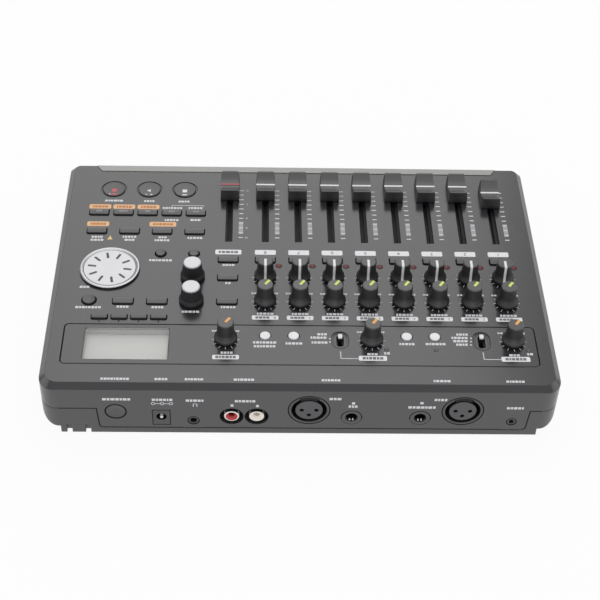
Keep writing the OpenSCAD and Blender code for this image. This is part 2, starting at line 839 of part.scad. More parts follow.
module rotary_pots() {
    color(metal) on_panel() at_places(pot_places) translate([0, 0, -board_depth]) difference() {
        union() {
            translate([-pot_body.x/2, -pot_body.y/2, 0]) cube(pot_body);
            cylinder(h = board_depth + bush_top, r = bush_r);
        }
        translate([0, 0, board_depth - shaft_end - run_gap])
            cylinder(h = board_depth, r = shaft_r + run_gap);
    }
}

module lamp(r) {
    translate([0, 0, -board_depth]) cylinder(h = board_depth, r = r);
    intersection() {
        cylinder(h = 1, r = r);
        translate([0, 0, -3*r]) sphere(3*r + 0.35);
    }
}

module indicator_lamps() {
    color("#6e1f28") on_panel() {
        at_places(track_lamps) lamp(lamp_r);
        at_places(rear_lamps) lamp(small_lamp_r);
    }
}

// Rear sockets
module microphone_socket() {
    difference() {
        union() {
            translate([0, 0, -mic_depth]) cylinder(h = mic_depth, r = mic_face_r);
            translate([0, 0, -wall - 1]) cube([mic_plate, mic_plate, 2], center = true);
        }
        translate([0, 0, -mic_groove_depth]) linear_extrude(mic_depth) difference() {
            circle(mic_groove_rs[1]);
            circle(mic_groove_rs[0]);
        }
        for (a = [0, 90, 180]) rotate(a) translate([pin_ring, 0, -10]) cylinder(h = 11, r = 1.25);
        translate([0, 0, -latch_depth]) intersection() {
            difference() {
                cylinder(h = mic_depth, r = latch_rs[1]);
                translate([0, 0, -1]) cylinder(h = mic_depth + 2, r = latch_rs[0]);
            }
            translate([-latch_w/2, -mic_face_r, 0]) cube([latch_w, mic_face_r, latch_depth + 1]);
        }
    }
}

module microphone_sockets() color(soft_black) for (x = mic_xs) on_rear(x, mic_z) microphone_socket();

module line_jacks() {
    body = jack_z - main_board_top;
    color(soft_black) {
        for (x = jack_xs) on_rear(x, jack_z) difference() {
            union() {
                translate([0, 0, -wall - 1]) cylinder(h = wall + 1 - jack_sink, r = jack_bezel_r);
                translate([-jack_body.x/2, -jack_body.x/2, -wall - jack_body.y])
                    cube([jack_body.x, jack_body.x/2 + body, jack_body.y]);
            }
            translate([0, 0, -jack_bore_l]) cylinder(h = jack_bore_l + 1, r = jack_bore_r);
        }
        for (j = small_jacks) on_rear(j[0].x, j[0].y) difference() {
            union() {
                translate([0, 0, -wall - 1]) cylinder(h = wall + 1 - jack_sink, r = j[1][0]);
                translate([-small_half, -small_half, -wall - small_body_l])
                    cube([2*small_half, small_half + j[0].y - main_board_top, small_body_l]);
            }
            translate([0, 0, -small_bore_l]) cylinder(h = small_bore_l + 1, r = j[1][1]);
        }
    }
}

module line_out_sockets() {
    body = line_out_z - main_board_top;
    w = line_out_pitch + 2*line_out_recess_r + 1;
    color(soft_black) {
        difference() {
            on_rear(line_out_x, line_out_z) translate([-w/2, -line_out_low, -wall - line_out_body])
                cube([w, line_out_low + body, line_out_body]);
            for (x = line_out_xs) on_rear(x, line_out_z) translate([0, 0, -wall - line_out_room])
                cylinder(h = line_out_room + 1, r = line_out_recess_r);
        }
        for (x = line_out_xs) on_rear(x, line_out_z) translate([0, 0, -wall - 4]) difference() {
            cylinder(h = wall + 3.8, r = sleeve_r);
            translate([0, 0, 1]) cylinder(h = wall + 4, r = sleeve_bore_r);
            translate([0, 0, wall + 3.8 - sleeve_funnel]) cylinder(h = sleeve_funnel + 0.2,
                r1 = sleeve_bore_r, r2 = sleeve_r - 0.9);
        }
    }
}

module power_inlet() {
    body = inlet.y - main_board_top;
    color(soft_black) on_rear(inlet.x, inlet.y) {
        difference() {
            union() {
                translate([-inlet_w/2, -inlet_h/2, -wall - 0.5]) cube([inlet_w, inlet_h, wall + 0.5]);
                translate([-inlet_w/2, -inlet_h/2, -wall - 11]) cube([inlet_w, inlet_h/2 + body, 11]);
            }
            translate([0, -0.6, -10]) cylinder(h = 11, r = 2.9);
        }
        translate([0, -0.6, -11]) cylinder(h = 9, r = 1);
    }
}

module power_button() {
    color(key_grey) on_rear(power_x, power_z) {
        difference() {
            translate([0, 0, -wall - 4]) cylinder(h = wall + 4, r = power_r);
            translate([0, 0, power_dish_r - 0.5]) sphere(power_dish_r);
        }
        translate([0, 0, -power_stem_end + power_travel + run_gap]) cylinder(h = 9, r = 2);
    }
}

// Faders
module fader_cap() {
    l = fader_l/2;
    w = fader_w/2;
    a = l - fader_tip;
    far_rise = fader_far_h - fader_h + fader_dip;
    hollow_z = (2*a^2 + fader_dip^2 + far_rise^2)/(2*(fader_dip + far_rise));
    hollow_y = (a^2 + fader_dip^2 - 2*hollow_z*fader_dip)/(2*a);
    trough = fader_h - fader_dip;
    blade_end = -board_depth + slide_pot_h - blade_depth;
    intersection() {
        difference() {
            rotate([90, 0, 90]) linear_extrude(fader_w, center = true)
                polygon([[-l, knob_gap], [l, knob_gap], [l, knob_gap + 2],
                    [l - 0.5, fader_h], [-l + 0.5, fader_far_h], [-l, knob_gap + 2]]);
            translate([0, hollow_y, trough + hollow_z]) rotate([0, 90, 0])
                cylinder(h = fader_w + 2, r = norm([hollow_y, hollow_z]), center = true, $fn = 96);
        }
        rotate([90, 0, 0]) linear_extrude(fader_l + 2, center = true)
            polygon([[-w, 0], [w, 0], [w - 0.3, trough], [w - 0.65, fader_h], [w - 1.2, fader_far_h + 1],
                [-w + 1.2, fader_far_h + 1], [-w + 0.65, fader_h], [-w + 0.3, trough]]);
    }
    translate([0, hollow_y/2, trough - 0.3]) cube([fader_w - 0.2, fader_rib, 1], center = true);
    translate([-blade_t/2, -blade_l/2, blade_end]) cube([blade_t, blade_l, knob_gap + 1 - blade_end]);
}

module fader(x, y) color(soft_black) on_panel() translate([x, y, 0]) fader_cap();

// Knobs
module shaft(foot) translate([0, 0, -shaft_end]) cylinder(h = shaft_end + foot + 0.5, r = shaft_r);

module pointer_knob(turn, start, w) {
    waist = 0.45*knob_h;
    foot = knob_foot;
    skirt = knob_skirt_r;
    top = knob_top_r;
    rotate(turn) difference() {
        union() {
            rotate_extrude() polygon([[0, foot], [skirt - 0.3, foot], [skirt, foot + 0.4],
                [skirt - 0.15, foot + 1.5], [skirt - 0.9, foot + 2.6], [top + 0.55, waist - 0.6],
                [top + 0.35, waist + 0.6], [top, knob_h - 0.5], [top - 0.4, knob_h], [0, knob_h]]);
            shaft(foot);
        }
        translate([-w/2, start, knob_h - 0.3]) cube([w, knob_top_r - start, 1]);
    }
}

module pan_knob(n) {
    color(soft_black) on_panel() translate([track_x(n), pan_y, 0]) pointer_knob(0, -1.2, pan_pointer_w);
}

module low_knob(x, y) {
    color(soft_black) on_panel() translate([x, y, 0]) pointer_knob(pointer_low, -0.2, pointer_w);
}

module eq_knob(y) {
    collar = eq_collar_r;
    grip = collar - 1.1;
    foot = knob_gap;
    top = eq_knob_h;
    color(soft_black) on_panel() translate([eq_x, y, 0]) {
        difference() {
            rotate_extrude() polygon([[0, foot], [collar - 0.6, foot], [collar, foot + 0.8],
                [collar - 0.1, foot + 2], [grip, foot + 3.4], [grip - 0.7, top - 1.2],
                [grip - 1.1, top - 0.3], [grip - 1.6, top], [0, top]]);
            for (a = [0:15:345]) rotate(a)
                translate([grip + 0.1, 0, foot + 3.4]) cylinder(h = top, r = 0.35);
        }
        shaft(foot);
    }
}

module data_wheel() {
    r = wheel_r;
    rim = r - 1.9;
    foot = 0.4*wheel_h;
    h = wheel_h;
    dash = [4.6, 1.2, 1];
    color(plain_white) on_panel() translate([wheel_x, wheel_y, 0]) {
        difference() {
            rotate_extrude() polygon([[0, foot], [r - 0.4, foot], [r, foot + 0.2], [r - 0.5, h - 0.2],
                [r - 0.9, h], [rim + 0.4, h - 0.1], [rim, h - 0.4], [rim - 0.4, h - 0.1], [0, h - 0.1]]);
            for (i = [0:9]) rotate(wheel_turn + 36*i)
                translate([rim - dash.x - 2.4, -dash.y/2, h - 0.4]) cube(dash);
        }
        shaft(foot);
    }
}

// Slide switch lever with its fork below
module switch_lever(place, travel) {
    color(plain_white) on_panel() translate([place.x, place.y - travel/2, 0]) {
        translate([0, 0, -wall - run_gap]) linear_extrude(lever_top + wall + run_gap)
            rounded(lever_w, lever_l, lever_r);
        translate([-fork_w/2, -fork_l/2, -lever_end]) cube([fork_w, fork_l, lever_end]);
    }
}

// Keys: a crowned cap, a flange that keeps it in the panel and a stem to its switch
module stem() translate([0, 0, -stem_end]) cylinder(h = stem_end - wall, r = stem_r);

module key(w, d, r) {
    crown = 1.8*d;
    intersection() {
        translate([0, 0, -wall - flange_t]) linear_extrude(wall + flange_t + key_h) rounded(w, d, r);
        translate([0, 0, key_h - crown]) rotate([0, 90, 0])
            cylinder(h = w + 2, r = crown, center = true, $fn = 160);
    }
    translate([0, 0, -wall - run_gap - flange_t]) linear_extrude(flange_t)
        rounded(w + 2*key_gap + 2*flange, d + 2*key_gap + 2*flange, r);
    stem();
}

module round_key(r, h, gap) {
    edge = r + gap + flange;
    under = -wall - run_gap;
    rotate_extrude() polygon([[0, under - flange_t], [edge, under - flange_t], [edge, under], [r, under],
        [r, h - 0.3], [r - 0.3, h], [0.6*r, h - 0.15], [0, h - 0.2]]);
    stem();
}

module keys_at(places) on_panel() at_places(places) key(key_w, key_d, 0.6);

module transport_button(i) {
    color(key_grey) on_panel() at_places([transport[i]]) round_key(transport_r, transport_h, transport_gap);
}

module record_keys() color(key_grey) keys_at(arm_row);
module select_keys() color(key_grey) keys_at(select_column);
module locate_keys() color(key_grey) keys_at(concat(row5, row4));

module display_keys() {
    color(key_grey) on_panel() at_places(display_row) key(display_key_w, display_key_d, 0.5);
}

module menu_keys() {
    color(key_grey) {
        keys_at(menu_row);
        on_panel() at_places(small_round) round_key(small_button_r, key_h, round_gap);
        on_panel() at_places([edit_round]) round_key(edit_button_r, key_h, round_gap);
    }
}

module mode_buttons() {
    color(plain_white) on_panel() at_places(mode_row) round_key(mode_button_r, mode_button_h, key_gap);
}

top_case();
bottom_case();
front_panel();
card_door();
display_window();
lcd_module();
control_board();
main_board();
slide_pots();
rotary_pots();
indicator_lamps();
microphone_sockets();
line_jacks();
line_out_sockets();
power_inlet();
power_button();
rubber_feet();
case_screws();
for (n = [1:tracks]) {
    fader(track_x(n), fader_rest(n));
    pan_knob(n);
    low_knob(track_x(n), reverb_y);
}
fader(master_x, fader_y);  // master_fader
low_knob(trim_a_x, rear_row_y);  // trim_knob_a
low_knob(trim_b_x, rear_row_y);  // trim_knob_b
low_knob(master_x, rear_row_y);  // level_knob
eq_knob(pan_y);  // eq_low_knob
eq_knob(reverb_y);  // eq_high_knob
data_wheel();
switch_lever(switch_a, switch_a_travel);  // input_switch_a
switch_lever(switch_b, switch_b_travel);  // input_switch_b
transport_button(0);  // record_button
transport_button(1);  // play_button
transport_button(2);  // stop_button
record_keys();
select_keys();
display_keys();
menu_keys();
locate_keys();
mode_buttons();
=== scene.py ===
"""Finishes, printed marks, stage, camera and light of a desktop digital multitrack recorder."""

import json
import math

import bmesh
import bpy
from mathutils import Matrix, Vector


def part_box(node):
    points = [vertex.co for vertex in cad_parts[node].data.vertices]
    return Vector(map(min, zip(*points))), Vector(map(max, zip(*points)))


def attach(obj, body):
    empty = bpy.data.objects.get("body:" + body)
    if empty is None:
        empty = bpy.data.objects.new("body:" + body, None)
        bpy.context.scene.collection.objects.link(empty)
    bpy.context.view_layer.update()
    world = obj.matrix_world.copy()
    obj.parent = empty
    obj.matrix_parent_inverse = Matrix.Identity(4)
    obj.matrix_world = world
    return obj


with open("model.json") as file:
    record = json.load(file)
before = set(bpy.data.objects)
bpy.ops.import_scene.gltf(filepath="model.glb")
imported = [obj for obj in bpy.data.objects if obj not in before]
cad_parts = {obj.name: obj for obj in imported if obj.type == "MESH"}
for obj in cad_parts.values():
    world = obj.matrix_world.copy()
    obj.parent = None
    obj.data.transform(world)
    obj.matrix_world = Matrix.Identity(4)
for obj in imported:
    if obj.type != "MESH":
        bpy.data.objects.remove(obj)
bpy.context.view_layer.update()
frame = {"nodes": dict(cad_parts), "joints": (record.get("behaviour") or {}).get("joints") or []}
nodes = frame["nodes"]
joints = {joint["name"]: joint for joint in frame["joints"]}

MM = 0.001
TRACKS = range(1, 9)
INK = 0.03

# Frames of the sloping panel and of the rear wall, taken from the joints and the case
ALONG = Vector(joints["master_fader_slide"]["axis"]).normalized()
UPWARD = Vector(joints["pan_1_turn"]["axis"]).normalized()
PAN_1 = Vector(joints["pan_1_turn"]["pos_m"])
PANEL_ORIGIN = Vector((0, 0, PAN_1.z - PAN_1.y / ALONG.y * ALONG.z))
PANEL = Matrix((
    (1, 0, 0, 0),
    (0, ALONG.y, UPWARD.y, 0),
    (0, ALONG.z, UPWARD.z, PANEL_ORIGIN.z),
    (0, 0, 0, 1),
))
REAR_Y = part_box("top_case")[1].y
REAR = Matrix(((-1, 0, 0, 0), (0, 0, 1, REAR_Y), (0, 1, 0, 0), (0, 0, 0, 1)))


def panel_box(node):
    """Lowest and highest corner of a node in the panel's frame, in millimetres."""
    back = PANEL.inverted()
    points = [back @ corner.co / MM for corner in nodes[node].data.vertices]
    low = Vector(min(point[axis] for point in points) for axis in range(3))
    high = Vector(max(point[axis] for point in points) for axis in range(3))
    return low, high


def panel_middle(node):
    """Middle of a node in the panel's frame, in millimetres."""
    low, high = panel_box(node)
    return (low + high) / 2


def turning_point(joint):
    """Place of a knob's axis in the panel's frame, in millimetres."""
    return PANEL.inverted() @ Vector(joints[joint]["pos_m"]) / MM


def track_x(number):
    """Place of a track across the panel, in millimetres."""
    return turning_point(f"pan_{number}_turn").x


def tone(red, green, blue):
    """A screen colour, 0 to 255, as the shader's own light values."""
    def light(level):
        part = level / 255
        return part / 12.92 if part <= 0.04045 else ((part + 0.055) / 1.055) ** 2.4
    return (light(red), light(green), light(blue), 1.0)


def shade(colour, factor):
    """A colour made darker or lighter by a factor."""
    return tuple(min(1.0, level * factor) for level in colour[:3]) + (1.0,)


# Shader values and node materials
class Value:
    """A socket whose value can be used in Python sums."""

    def __init__(self, paint, socket):
        self.paint = paint
        self.socket = socket

    def sum(self, operation, first, second=0.0):
        return self.paint.node("ShaderNodeMath", {"operation": operation}, {0: first, 1: second})

    def __add__(self, other):
        return self.sum("ADD", self, other)

    def __radd__(self, other):
        return self.sum("ADD", other, self)

    def __sub__(self, other):
        return self.sum("SUBTRACT", self, other)

    def __rsub__(self, other):
        return self.sum("SUBTRACT", other, self)

    def __mul__(self, other):
        return self.sum("MULTIPLY", self, other)

    def __rmul__(self, other):
        return self.sum("MULTIPLY", other, self)

    def root(self):
        return self.sum("SQRT", self)

    def sine(self):
        return self.sum("SINE", self)

    def size(self):
        return self.sum("ABSOLUTE", self)

    def angle(self, other):
        return self.sum("ARCTAN2", self, other)

    def most(self, other):
        return self.sum("MAXIMUM", self, other)

    def least(self, other):
        return self.sum("MINIMUM", self, other)


class Paint:
    """A material with one Principled shader and the nodes that feed it."""

    def __init__(self, name, colour=(0.5, 0.5, 0.5, 1.0), roughness=0.5, **constants):
        self.material = bpy.data.materials.new(name)
        self.material.use_nodes = True
        self.tree = self.material.node_tree
        self.shader = self.tree.nodes["Principled BSDF"]
        self.coordinates = None
        self.set("Base Color", colour)
        self.set("Roughness", roughness)
        for constant, value in constants.items():
            self.set(constant.replace("_", " "), value)

    def put(self, socket, value):
        if isinstance(value, Value):
            self.tree.links.new(value.socket, socket)
        else:
            socket.default_value = value

    def set(self, name, value):
        self.put(self.shader.inputs[name], value)

    def node(self, kind, settings, sockets, output=0):
        made = self.tree.nodes.new(kind)
        for name, value in settings.items():
            setattr(made, name, value)
        for key, value in sockets.items():
            self.put(made.inputs[key], value)
        return Value(self, made.outputs[output])

    def place(self):
        if self.coordinates is None:
            self.coordinates = self.node("ShaderNodeTexCoord", {}, {}, "Object")
        return self.coordinates

    def along(self, direction, origin=(0, 0, 0)):
        """Distance along a direction from an origin, in millimetres."""
        start = Vector(direction).dot(Vector(origin)) / MM
        product = {"operation": "DOT_PRODUCT"}
        sockets = {0: self.place(), 1: tuple(Vector(direction) / MM)}
        return self.node("ShaderNodeVectorMath", product, sockets, "Value") - start

    def around(self, origin, first, second):
        """Distance from an axis that is square to two directions, in millimetres."""
        across = self.along(first, origin)
        up = self.along(second, origin)
        return (across * across + up * up).root()

    def noise(self, size, detail=2.0):
        """Cloudy pattern of about this size in millimetres, 0 to 1."""
        sockets = {"Vector": self.place(), "Scale": 1 / (size * MM), "Detail": detail}
        return self.node("ShaderNodeTexNoise", {}, sockets)

    def rise(self, value, low, high):
        """Smooth step from 0 at low to 1 at high."""
        sockets = {"Value": value, "From Min": low, "From Max": high}
        return self.node("ShaderNodeMapRange", {"interpolation_type": "SMOOTHSTEP"}, sockets)

    def blend(self, mask, first, second):
        """First colour where the mask is 0, second where it is 1."""
        # A Mix node's sockets 6 and 7 and its output 2 hold the colours
        return self.node("ShaderNodeMix", {"data_type": "RGBA"}, {0: mask, 6: first, 7: second}, 2)

    def gloss(self, roughness, pattern, drift=0.12):
        """Roughness that drifts with a pattern."""
        self.set("Roughness", roughness + drift * (pattern - 0.5))

    def grain(self, height, depth, edge=0.0):
        """Relief of this depth in millimetres, with edges that look rounded by a radius."""
        sockets = {"Height": height, "Distance": depth * MM, "Strength": 1.0}
        if edge:
            sockets["Normal"] = self.node("ShaderNodeBevel", {"samples": 6}, {"Radius": edge * MM})
        self.set("Normal", self.node("ShaderNodeBump", {}, sockets))

    def mottle(self, colour, spread, size=18.0):
        """A colour that drifts a little, as moulded plastic does."""
        return self.blend(self.noise(size, 3.0), shade(colour, 1 - spread), shade(colour, 1 + spread))


def plastic(name, colour, roughness=0.5, depth=0.01, size=0.4, spread=0.05, edge=0.15, **constants):
    """Moulded plastic: grain of a depth and size in millimetres, slight drift of colour, softened edges."""
    paint = Paint(name, **constants)
    fine = paint.noise(size)
    paint.set("Base Color", paint.mottle(colour, spread))
    paint.gloss(roughness, fine, 0.14)
    paint.grain(fine, depth, edge)
    return paint.material


def print_ink(name, colour):
    """Screen print: a thin matt film with faintly uneven gloss."""
    paint = Paint(name)
    paint.set("Base Color", paint.mottle(colour, 0.03, 3.0))
    paint.gloss(0.5, paint.noise(0.6, 3.0), 0.2)
    return paint.material


# Finishes of the case and its fixed pieces
CASE_GREY = tone(39, 39, 42)
GLOSS = {"Specular_IOR_Level": 1.0}
FLAT = {"Specular_IOR_Level": 0.2}
DULL = {"Specular_IOR_Level": 0.1}
METAL = {"Metallic": 1.0}
case_grey = plastic("case_grey", CASE_GREY, 0.21, depth=0.009, size=0.45, edge=0.35, **GLOSS)
base_grey = plastic("base_grey", CASE_GREY, 0.27, depth=0.012, size=0.45, edge=1.6, **GLOSS)
front_silver = plastic(
    "front_silver", tone(157, 157, 155), 0.42, depth=0.006, size=0.25, spread=0.03, edge=0.3, Metallic=0.2)
foot_rubber = plastic("foot_rubber", tone(48, 48, 49), 0.8, depth=0.02, size=0.3, spread=0.08)
board_green = plastic("board_green", tone(24, 40, 32), 0.45, size=1.2, spread=0.1)
fader_black = plastic(
    "fader_black", tone(40, 40, 42), 0.34, depth=0.006, size=0.35, spread=0.06, edge=0.2, **GLOSS)
key_grey = plastic("key_grey", tone(42, 42, 45), 0.36, depth=0.008, size=0.35, edge=0.25, **GLOSS)
button_white = plastic(
    "button_white", tone(236, 236, 238), 0.45, depth=0.006, size=0.3, spread=0.02, edge=0.2)
display_grey = plastic("display_grey", tone(203, 204, 200), 0.4, depth=0.0005, size=0.5, spread=0.01, edge=0)
liner_grey = plastic("liner_grey", tone(164, 164, 163), 0.5, depth=0.004, spread=0.03, edge=0)
latch_steel = plastic(
    "latch_steel", tone(24, 24, 26), 0.5, depth=0.12, size=0.9, spread=0.5, edge=0.3, **FLAT)
ring_chrome = plastic("ring_chrome", tone(178, 178, 179), 0.1, depth=0.001, spread=0.02, edge=0, **METAL)
pin_silver = plastic("pin_silver", tone(238, 238, 236), 0.3, depth=0.002, spread=0.03, edge=0.2)
# Black film for painted shade in gaps, seams and grooves
gap_shade_black = plastic("gap_shade_black", tone(26, 26, 27), 0.9, depth=0.004, size=0.3, edge=0, **DULL)
track_felt = plastic("track_felt", tone(82, 82, 84), 0.85, depth=0.02, size=0.25, spread=0.1)


def turned_metal():
    """Plated steel with fine brushing across the sheet."""
    paint = Paint("pot_metal", **METAL)
    streak = paint.node("ShaderNodeMapping", {}, {"Vector": paint.place(), "Scale": (60, 2600, 2600)})
    brushed = paint.node("ShaderNodeTexNoise", {}, {"Vector": streak, "Scale": 1.0, "Detail": 2.0})
    paint.set("Base Color", paint.mottle(tone(196, 196, 198), 0.05))
    paint.gloss(0.3, brushed, 0.2)
    paint.grain(brushed, 0.004)
    return paint.material


# Places and sizes that the finishes need, in millimetres
SMALL_LAMPS_FROM = 60.0
CAP_EDGE = 0.5
EQ_RIBS = 24
EQ_SCALLOP = 0.45
WHEEL_RING_W = 1.9
LEVER_TIP = 0.9
INLET_AXIS = 13.7
INLET_PIN_R = 1.2
OUT_HALF_PITCH = 7.0
OUT_SLEEVE_R = 4.3
OUT_INSERT_R = 3.3
OUT_HOLE_R = 1.72


def lamp_glass():
    """Unlit lamps: dark red domes that are lighter towards the tip, and smoky ones by the rear row."""
    paint = Paint("lamp_red")
    height = paint.along(UPWARD, PANEL_ORIGIN)
    red = paint.blend(paint.rise(height, 0.0, 0.4), tone(62, 10, 16), tone(112, 24, 34))
    small = paint.rise(paint.along(ALONG, PANEL_ORIGIN), SMALL_LAMPS_FROM, SMALL_LAMPS_FROM + 1)
    paint.set("Base Color", paint.blend(small, red, tone(92, 88, 88)))
    paint.set("Roughness", 0.4 + 0.1 * paint.noise(0.5))
    return paint.material


def window_pane():
    """Clear pane with faint haze and frosted edges."""
    low, high = panel_box("display_window")
    middle = PANEL @ ((low + high) / 2 * MM)
    half_w = (high.x - low.x) / 2
    half_d = (high.y - low.y) / 2
    paint = Paint("window_clear")
    haze = paint.noise(9.0, 3.0)
    edge = paint.rise(paint.along((1, 0, 0), middle).size(), half_w - 0.04, half_w - 0.02)
    edge = edge.most(paint.rise(paint.along(ALONG, middle).size(), half_d - 0.04, half_d - 0.02))
    paint.set("Base Color", paint.blend(edge, tone(236, 238, 236), tone(150, 150, 150)))
    paint.set("Roughness", 0.05 + 0.05 * haze + 0.4 * edge)
    paint.set("Alpha", edge.most(0.08 + 0.05 * haze))
    return paint.material


def knob_finish():
    """Smooth top on a grip with rough sides; the top is painted lighter and the sides darker, as painted
    light and shade.
    """
    top = panel_box("pan_knob_1")[1].z
    paint = Paint("knob_black", **GLOSS)
    cap = paint.rise(paint.along(UPWARD, PANEL_ORIGIN), top - CAP_EDGE - 0.1, top - CAP_EDGE)
    fine = paint.noise(0.35)
    # Painted light and shade: one black plastic, lighter on its top and darker on its sides
    paint.set("Base Color", paint.blend(cap, tone(16, 16, 17), paint.mottle(tone(54, 54, 56), 0.06)))
    paint.gloss(0.56 - 0.22 * cap, fine, 0.1)
    paint.grain(fine, 0.006, 0.2)
    return paint.material


def equaliser_finish(kind):
    """White disc with a scalloped edge on the top of a black ribbed grip."""
    top = panel_box(f"eq_{kind}_knob")[1].z
    axis = Vector(joints[f"eq_{kind}_turn"]["pos_m"])
    paint = Paint(f"eq_{kind}_white", **FLAT)
    height = paint.along(UPWARD, PANEL_ORIGIN)
    turn = paint.along(ALONG, axis).angle(paint.along((1, 0, 0), axis))
    ribs = (turn * EQ_RIBS - math.pi / 2).sine()
    cap = paint.rise(height + EQ_SCALLOP * ribs, top - EQ_SCALLOP - 0.07, top - EQ_SCALLOP - 0.01)
    fine = paint.noise(0.35)
    paint.set("Base Color", paint.blend(cap, tone(46, 46, 48), paint.mottle(tone(224, 224, 227), 0.02)))
    paint.gloss(0.42, fine)
    paint.grain(fine, 0.006, 0.2)
    return paint.material


def wheel_finish():
    """White disc with spun rings and dark sunk places, in a metal edge."""
    low, high = panel_box("data_wheel")
    middle = Vector(joints["data_wheel_turn"]["pos_m"])
    disc_r = (high.x - low.x) / 2 - WHEEL_RING_W
    paint = Paint("wheel_white", Anisotropic=0.6)
    radius = paint.around(middle, (1, 0, 0), ALONG)
    height = paint.along(UPWARD, PANEL_ORIGIN)
    ring = paint.rise(radius, disc_r + 0.1, disc_r + 0.2)
    sunk = 1 - paint.rise(height, high.z - 0.3, high.z - 0.2)
    disc = paint.blend(sunk, paint.mottle(tone(222, 222, 225), 0.015), tone(88, 88, 91))
    paint.set("Base Color", paint.blend(ring, disc, tone(204, 204, 206)))
    paint.set("Metallic", ring)
    spun = (radius * 21.0).sine()
    paint.set("Roughness", 0.34 - 0.14 * ring + 0.04 * spun)
    paint.grain(spun * (1 - ring) + 0.3 * paint.noise(0.4), 0.004, 0.25)
    return paint.material


def switch_finish(node):
    """White lever on a dark foot."""
    top = panel_box(node)[1].z
    paint = Paint(f"{node}_tip")
    tip = paint.rise(paint.along(UPWARD, PANEL_ORIGIN), top - LEVER_TIP - 0.1, top - LEVER_TIP)
    fine = paint.noise(0.4)
    paint.set("Base Color", paint.blend(tip, tone(30, 30, 32), paint.mottle(tone(230, 230, 232), 0.02)))
    paint.gloss(0.42, fine)
    paint.grain(fine, 0.006, 0.2)
    return paint.material


def rear_face_finish(name, depth, face, inside):
    """Socket that is one colour on its face and is painted darker in its depths, as painted shade."""
    paint = Paint(name, Specular_IOR_Level=0.8)
    front = paint.rise(paint.along((0, 1, 0), (0, REAR_Y, 0)), -depth - 0.1, -depth)
    fine = paint.noise(0.4)
    # The depths take the darker colour as painted shade
    paint.set("Base Color", paint.blend(front, inside, paint.mottle(face, 0.04)))
    paint.gloss(0.42, fine, 0.14)
    paint.grain(fine, 0.01, 0.2)
    return paint


def inlet_finish():
    """Power inlet: grey face, a well painted dark as shade, and a bright pin."""
    low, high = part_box("power_inlet")
    paint = rear_face_finish("inlet_grey", 0.5, tone(50, 50, 53), tone(16, 16, 17))
    axis = Vector(((low.x + high.x) / 2, REAR_Y, INLET_AXIS * MM))
    pin = 1 - paint.rise(paint.around(axis, (1, 0, 0), (0, 0, 1)), INLET_PIN_R, INLET_PIN_R + 0.2)
    face = Value(paint, paint.shader.inputs["Base Color"].links[0].from_socket)
    paint.set("Base Color", paint.blend(pin, face, tone(232, 232, 230)))
    paint.set("Metallic", 0.6 * pin)
    return paint.material


def line_out_finish():
    """Pair of sockets: pale plated sleeves on black, with one white and one red insert, and bores painted
    darker as shade.
    """
    low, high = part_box("line_out_sockets")
    middle_x = (low.x + high.x) / 2
    middle_z = (low.z + high.z) / 2
    half_pitch = OUT_HALF_PITCH * MM
    paint = Paint("line_out_pair")
    right = Vector((middle_x + half_pitch, REAR_Y, middle_z))
    left = Vector((middle_x - half_pitch, REAR_Y, middle_z))
    from_right = paint.around(right, (1, 0, 0), (0, 0, 1))
    from_left = paint.around(left, (1, 0, 0), (0, 0, 1))
    red = 1 - paint.rise(from_right, OUT_INSERT_R, OUT_INSERT_R + 0.1)
    near = from_right.least(from_left)
    sleeve = 1 - paint.rise(near, OUT_SLEEVE_R, OUT_SLEEVE_R + 0.1)
    hole = 1 - paint.rise(near, OUT_HOLE_R, OUT_HOLE_R + 0.1)
    body = paint.blend(sleeve, tone(40, 40, 42), paint.mottle(tone(238, 234, 224), 0.03))
    insert = paint.blend(red, body, tone(190, 62, 68))
    # The bores are painted darker than the inserts, as painted shade
    bore = paint.blend(red, tone(230, 222, 210), tone(140, 34, 38))
    paint.set("Base Color", paint.blend(hole, insert, bore))
    paint.set("Roughness", 0.34 + 0.1 * paint.noise(0.5))
    return paint.material


pot_metal = turned_metal()
knob_black = knob_finish()
lamp_red = lamp_glass()
# Sockets whose depths are painted darker than their faces, as painted shade
microphone_grey = rear_face_finish("microphone_grey", 0.5, tone(56, 56, 59), tone(34, 34, 36))
jack_grey = rear_face_finish("jack_grey", 1.1, tone(48, 48, 51), tone(16, 16, 17))
knob_names = [f"{kind}_knob_{number}" for kind in ("pan", "reverb") for number in TRACKS]
fader_names = [f"fader_{number}" for number in TRACKS] + ["master_fader"]
finish_of = {
    "top_case": case_grey,
    "bottom_case": base_grey,
    "front_panel": front_silver,
    "card_door": front_silver,
    "display_window": window_pane(),
    "lcd_module": display_grey,
    "control_board": board_green,
    "main_board": board_green,
    "slide_pots": track_felt,
    "rotary_pots": pot_metal,
    "case_screws": pot_metal,
    "indicator_lamps": lamp_red,
    "microphone_sockets": microphone_grey.material,
    "line_jacks": jack_grey.material,
    "line_out_sockets": line_out_finish(),
    "power_inlet": inlet_finish(),
    "rubber_feet": foot_rubber,
    "power_button": key_grey,
    "eq_low_knob": equaliser_finish("low"),
    "eq_high_knob": equaliser_finish("high"),
    "data_wheel": wheel_finish(),
    "mode_buttons": button_white,
    "input_switch_a": switch_finish("input_switch_a"),
    "input_switch_b": switch_finish("input_switch_b"),
}
finish_of.update({name: knob_black for name in knob_names + ["trim_knob_a", "trim_knob_b", "level_knob"]})
finish_of.update({name: fader_black for name in fader_names})
for name, piece in nodes.items():
    piece.data.materials.clear()
    piece.data.materials.append(finish_of.get(name, key_grey))

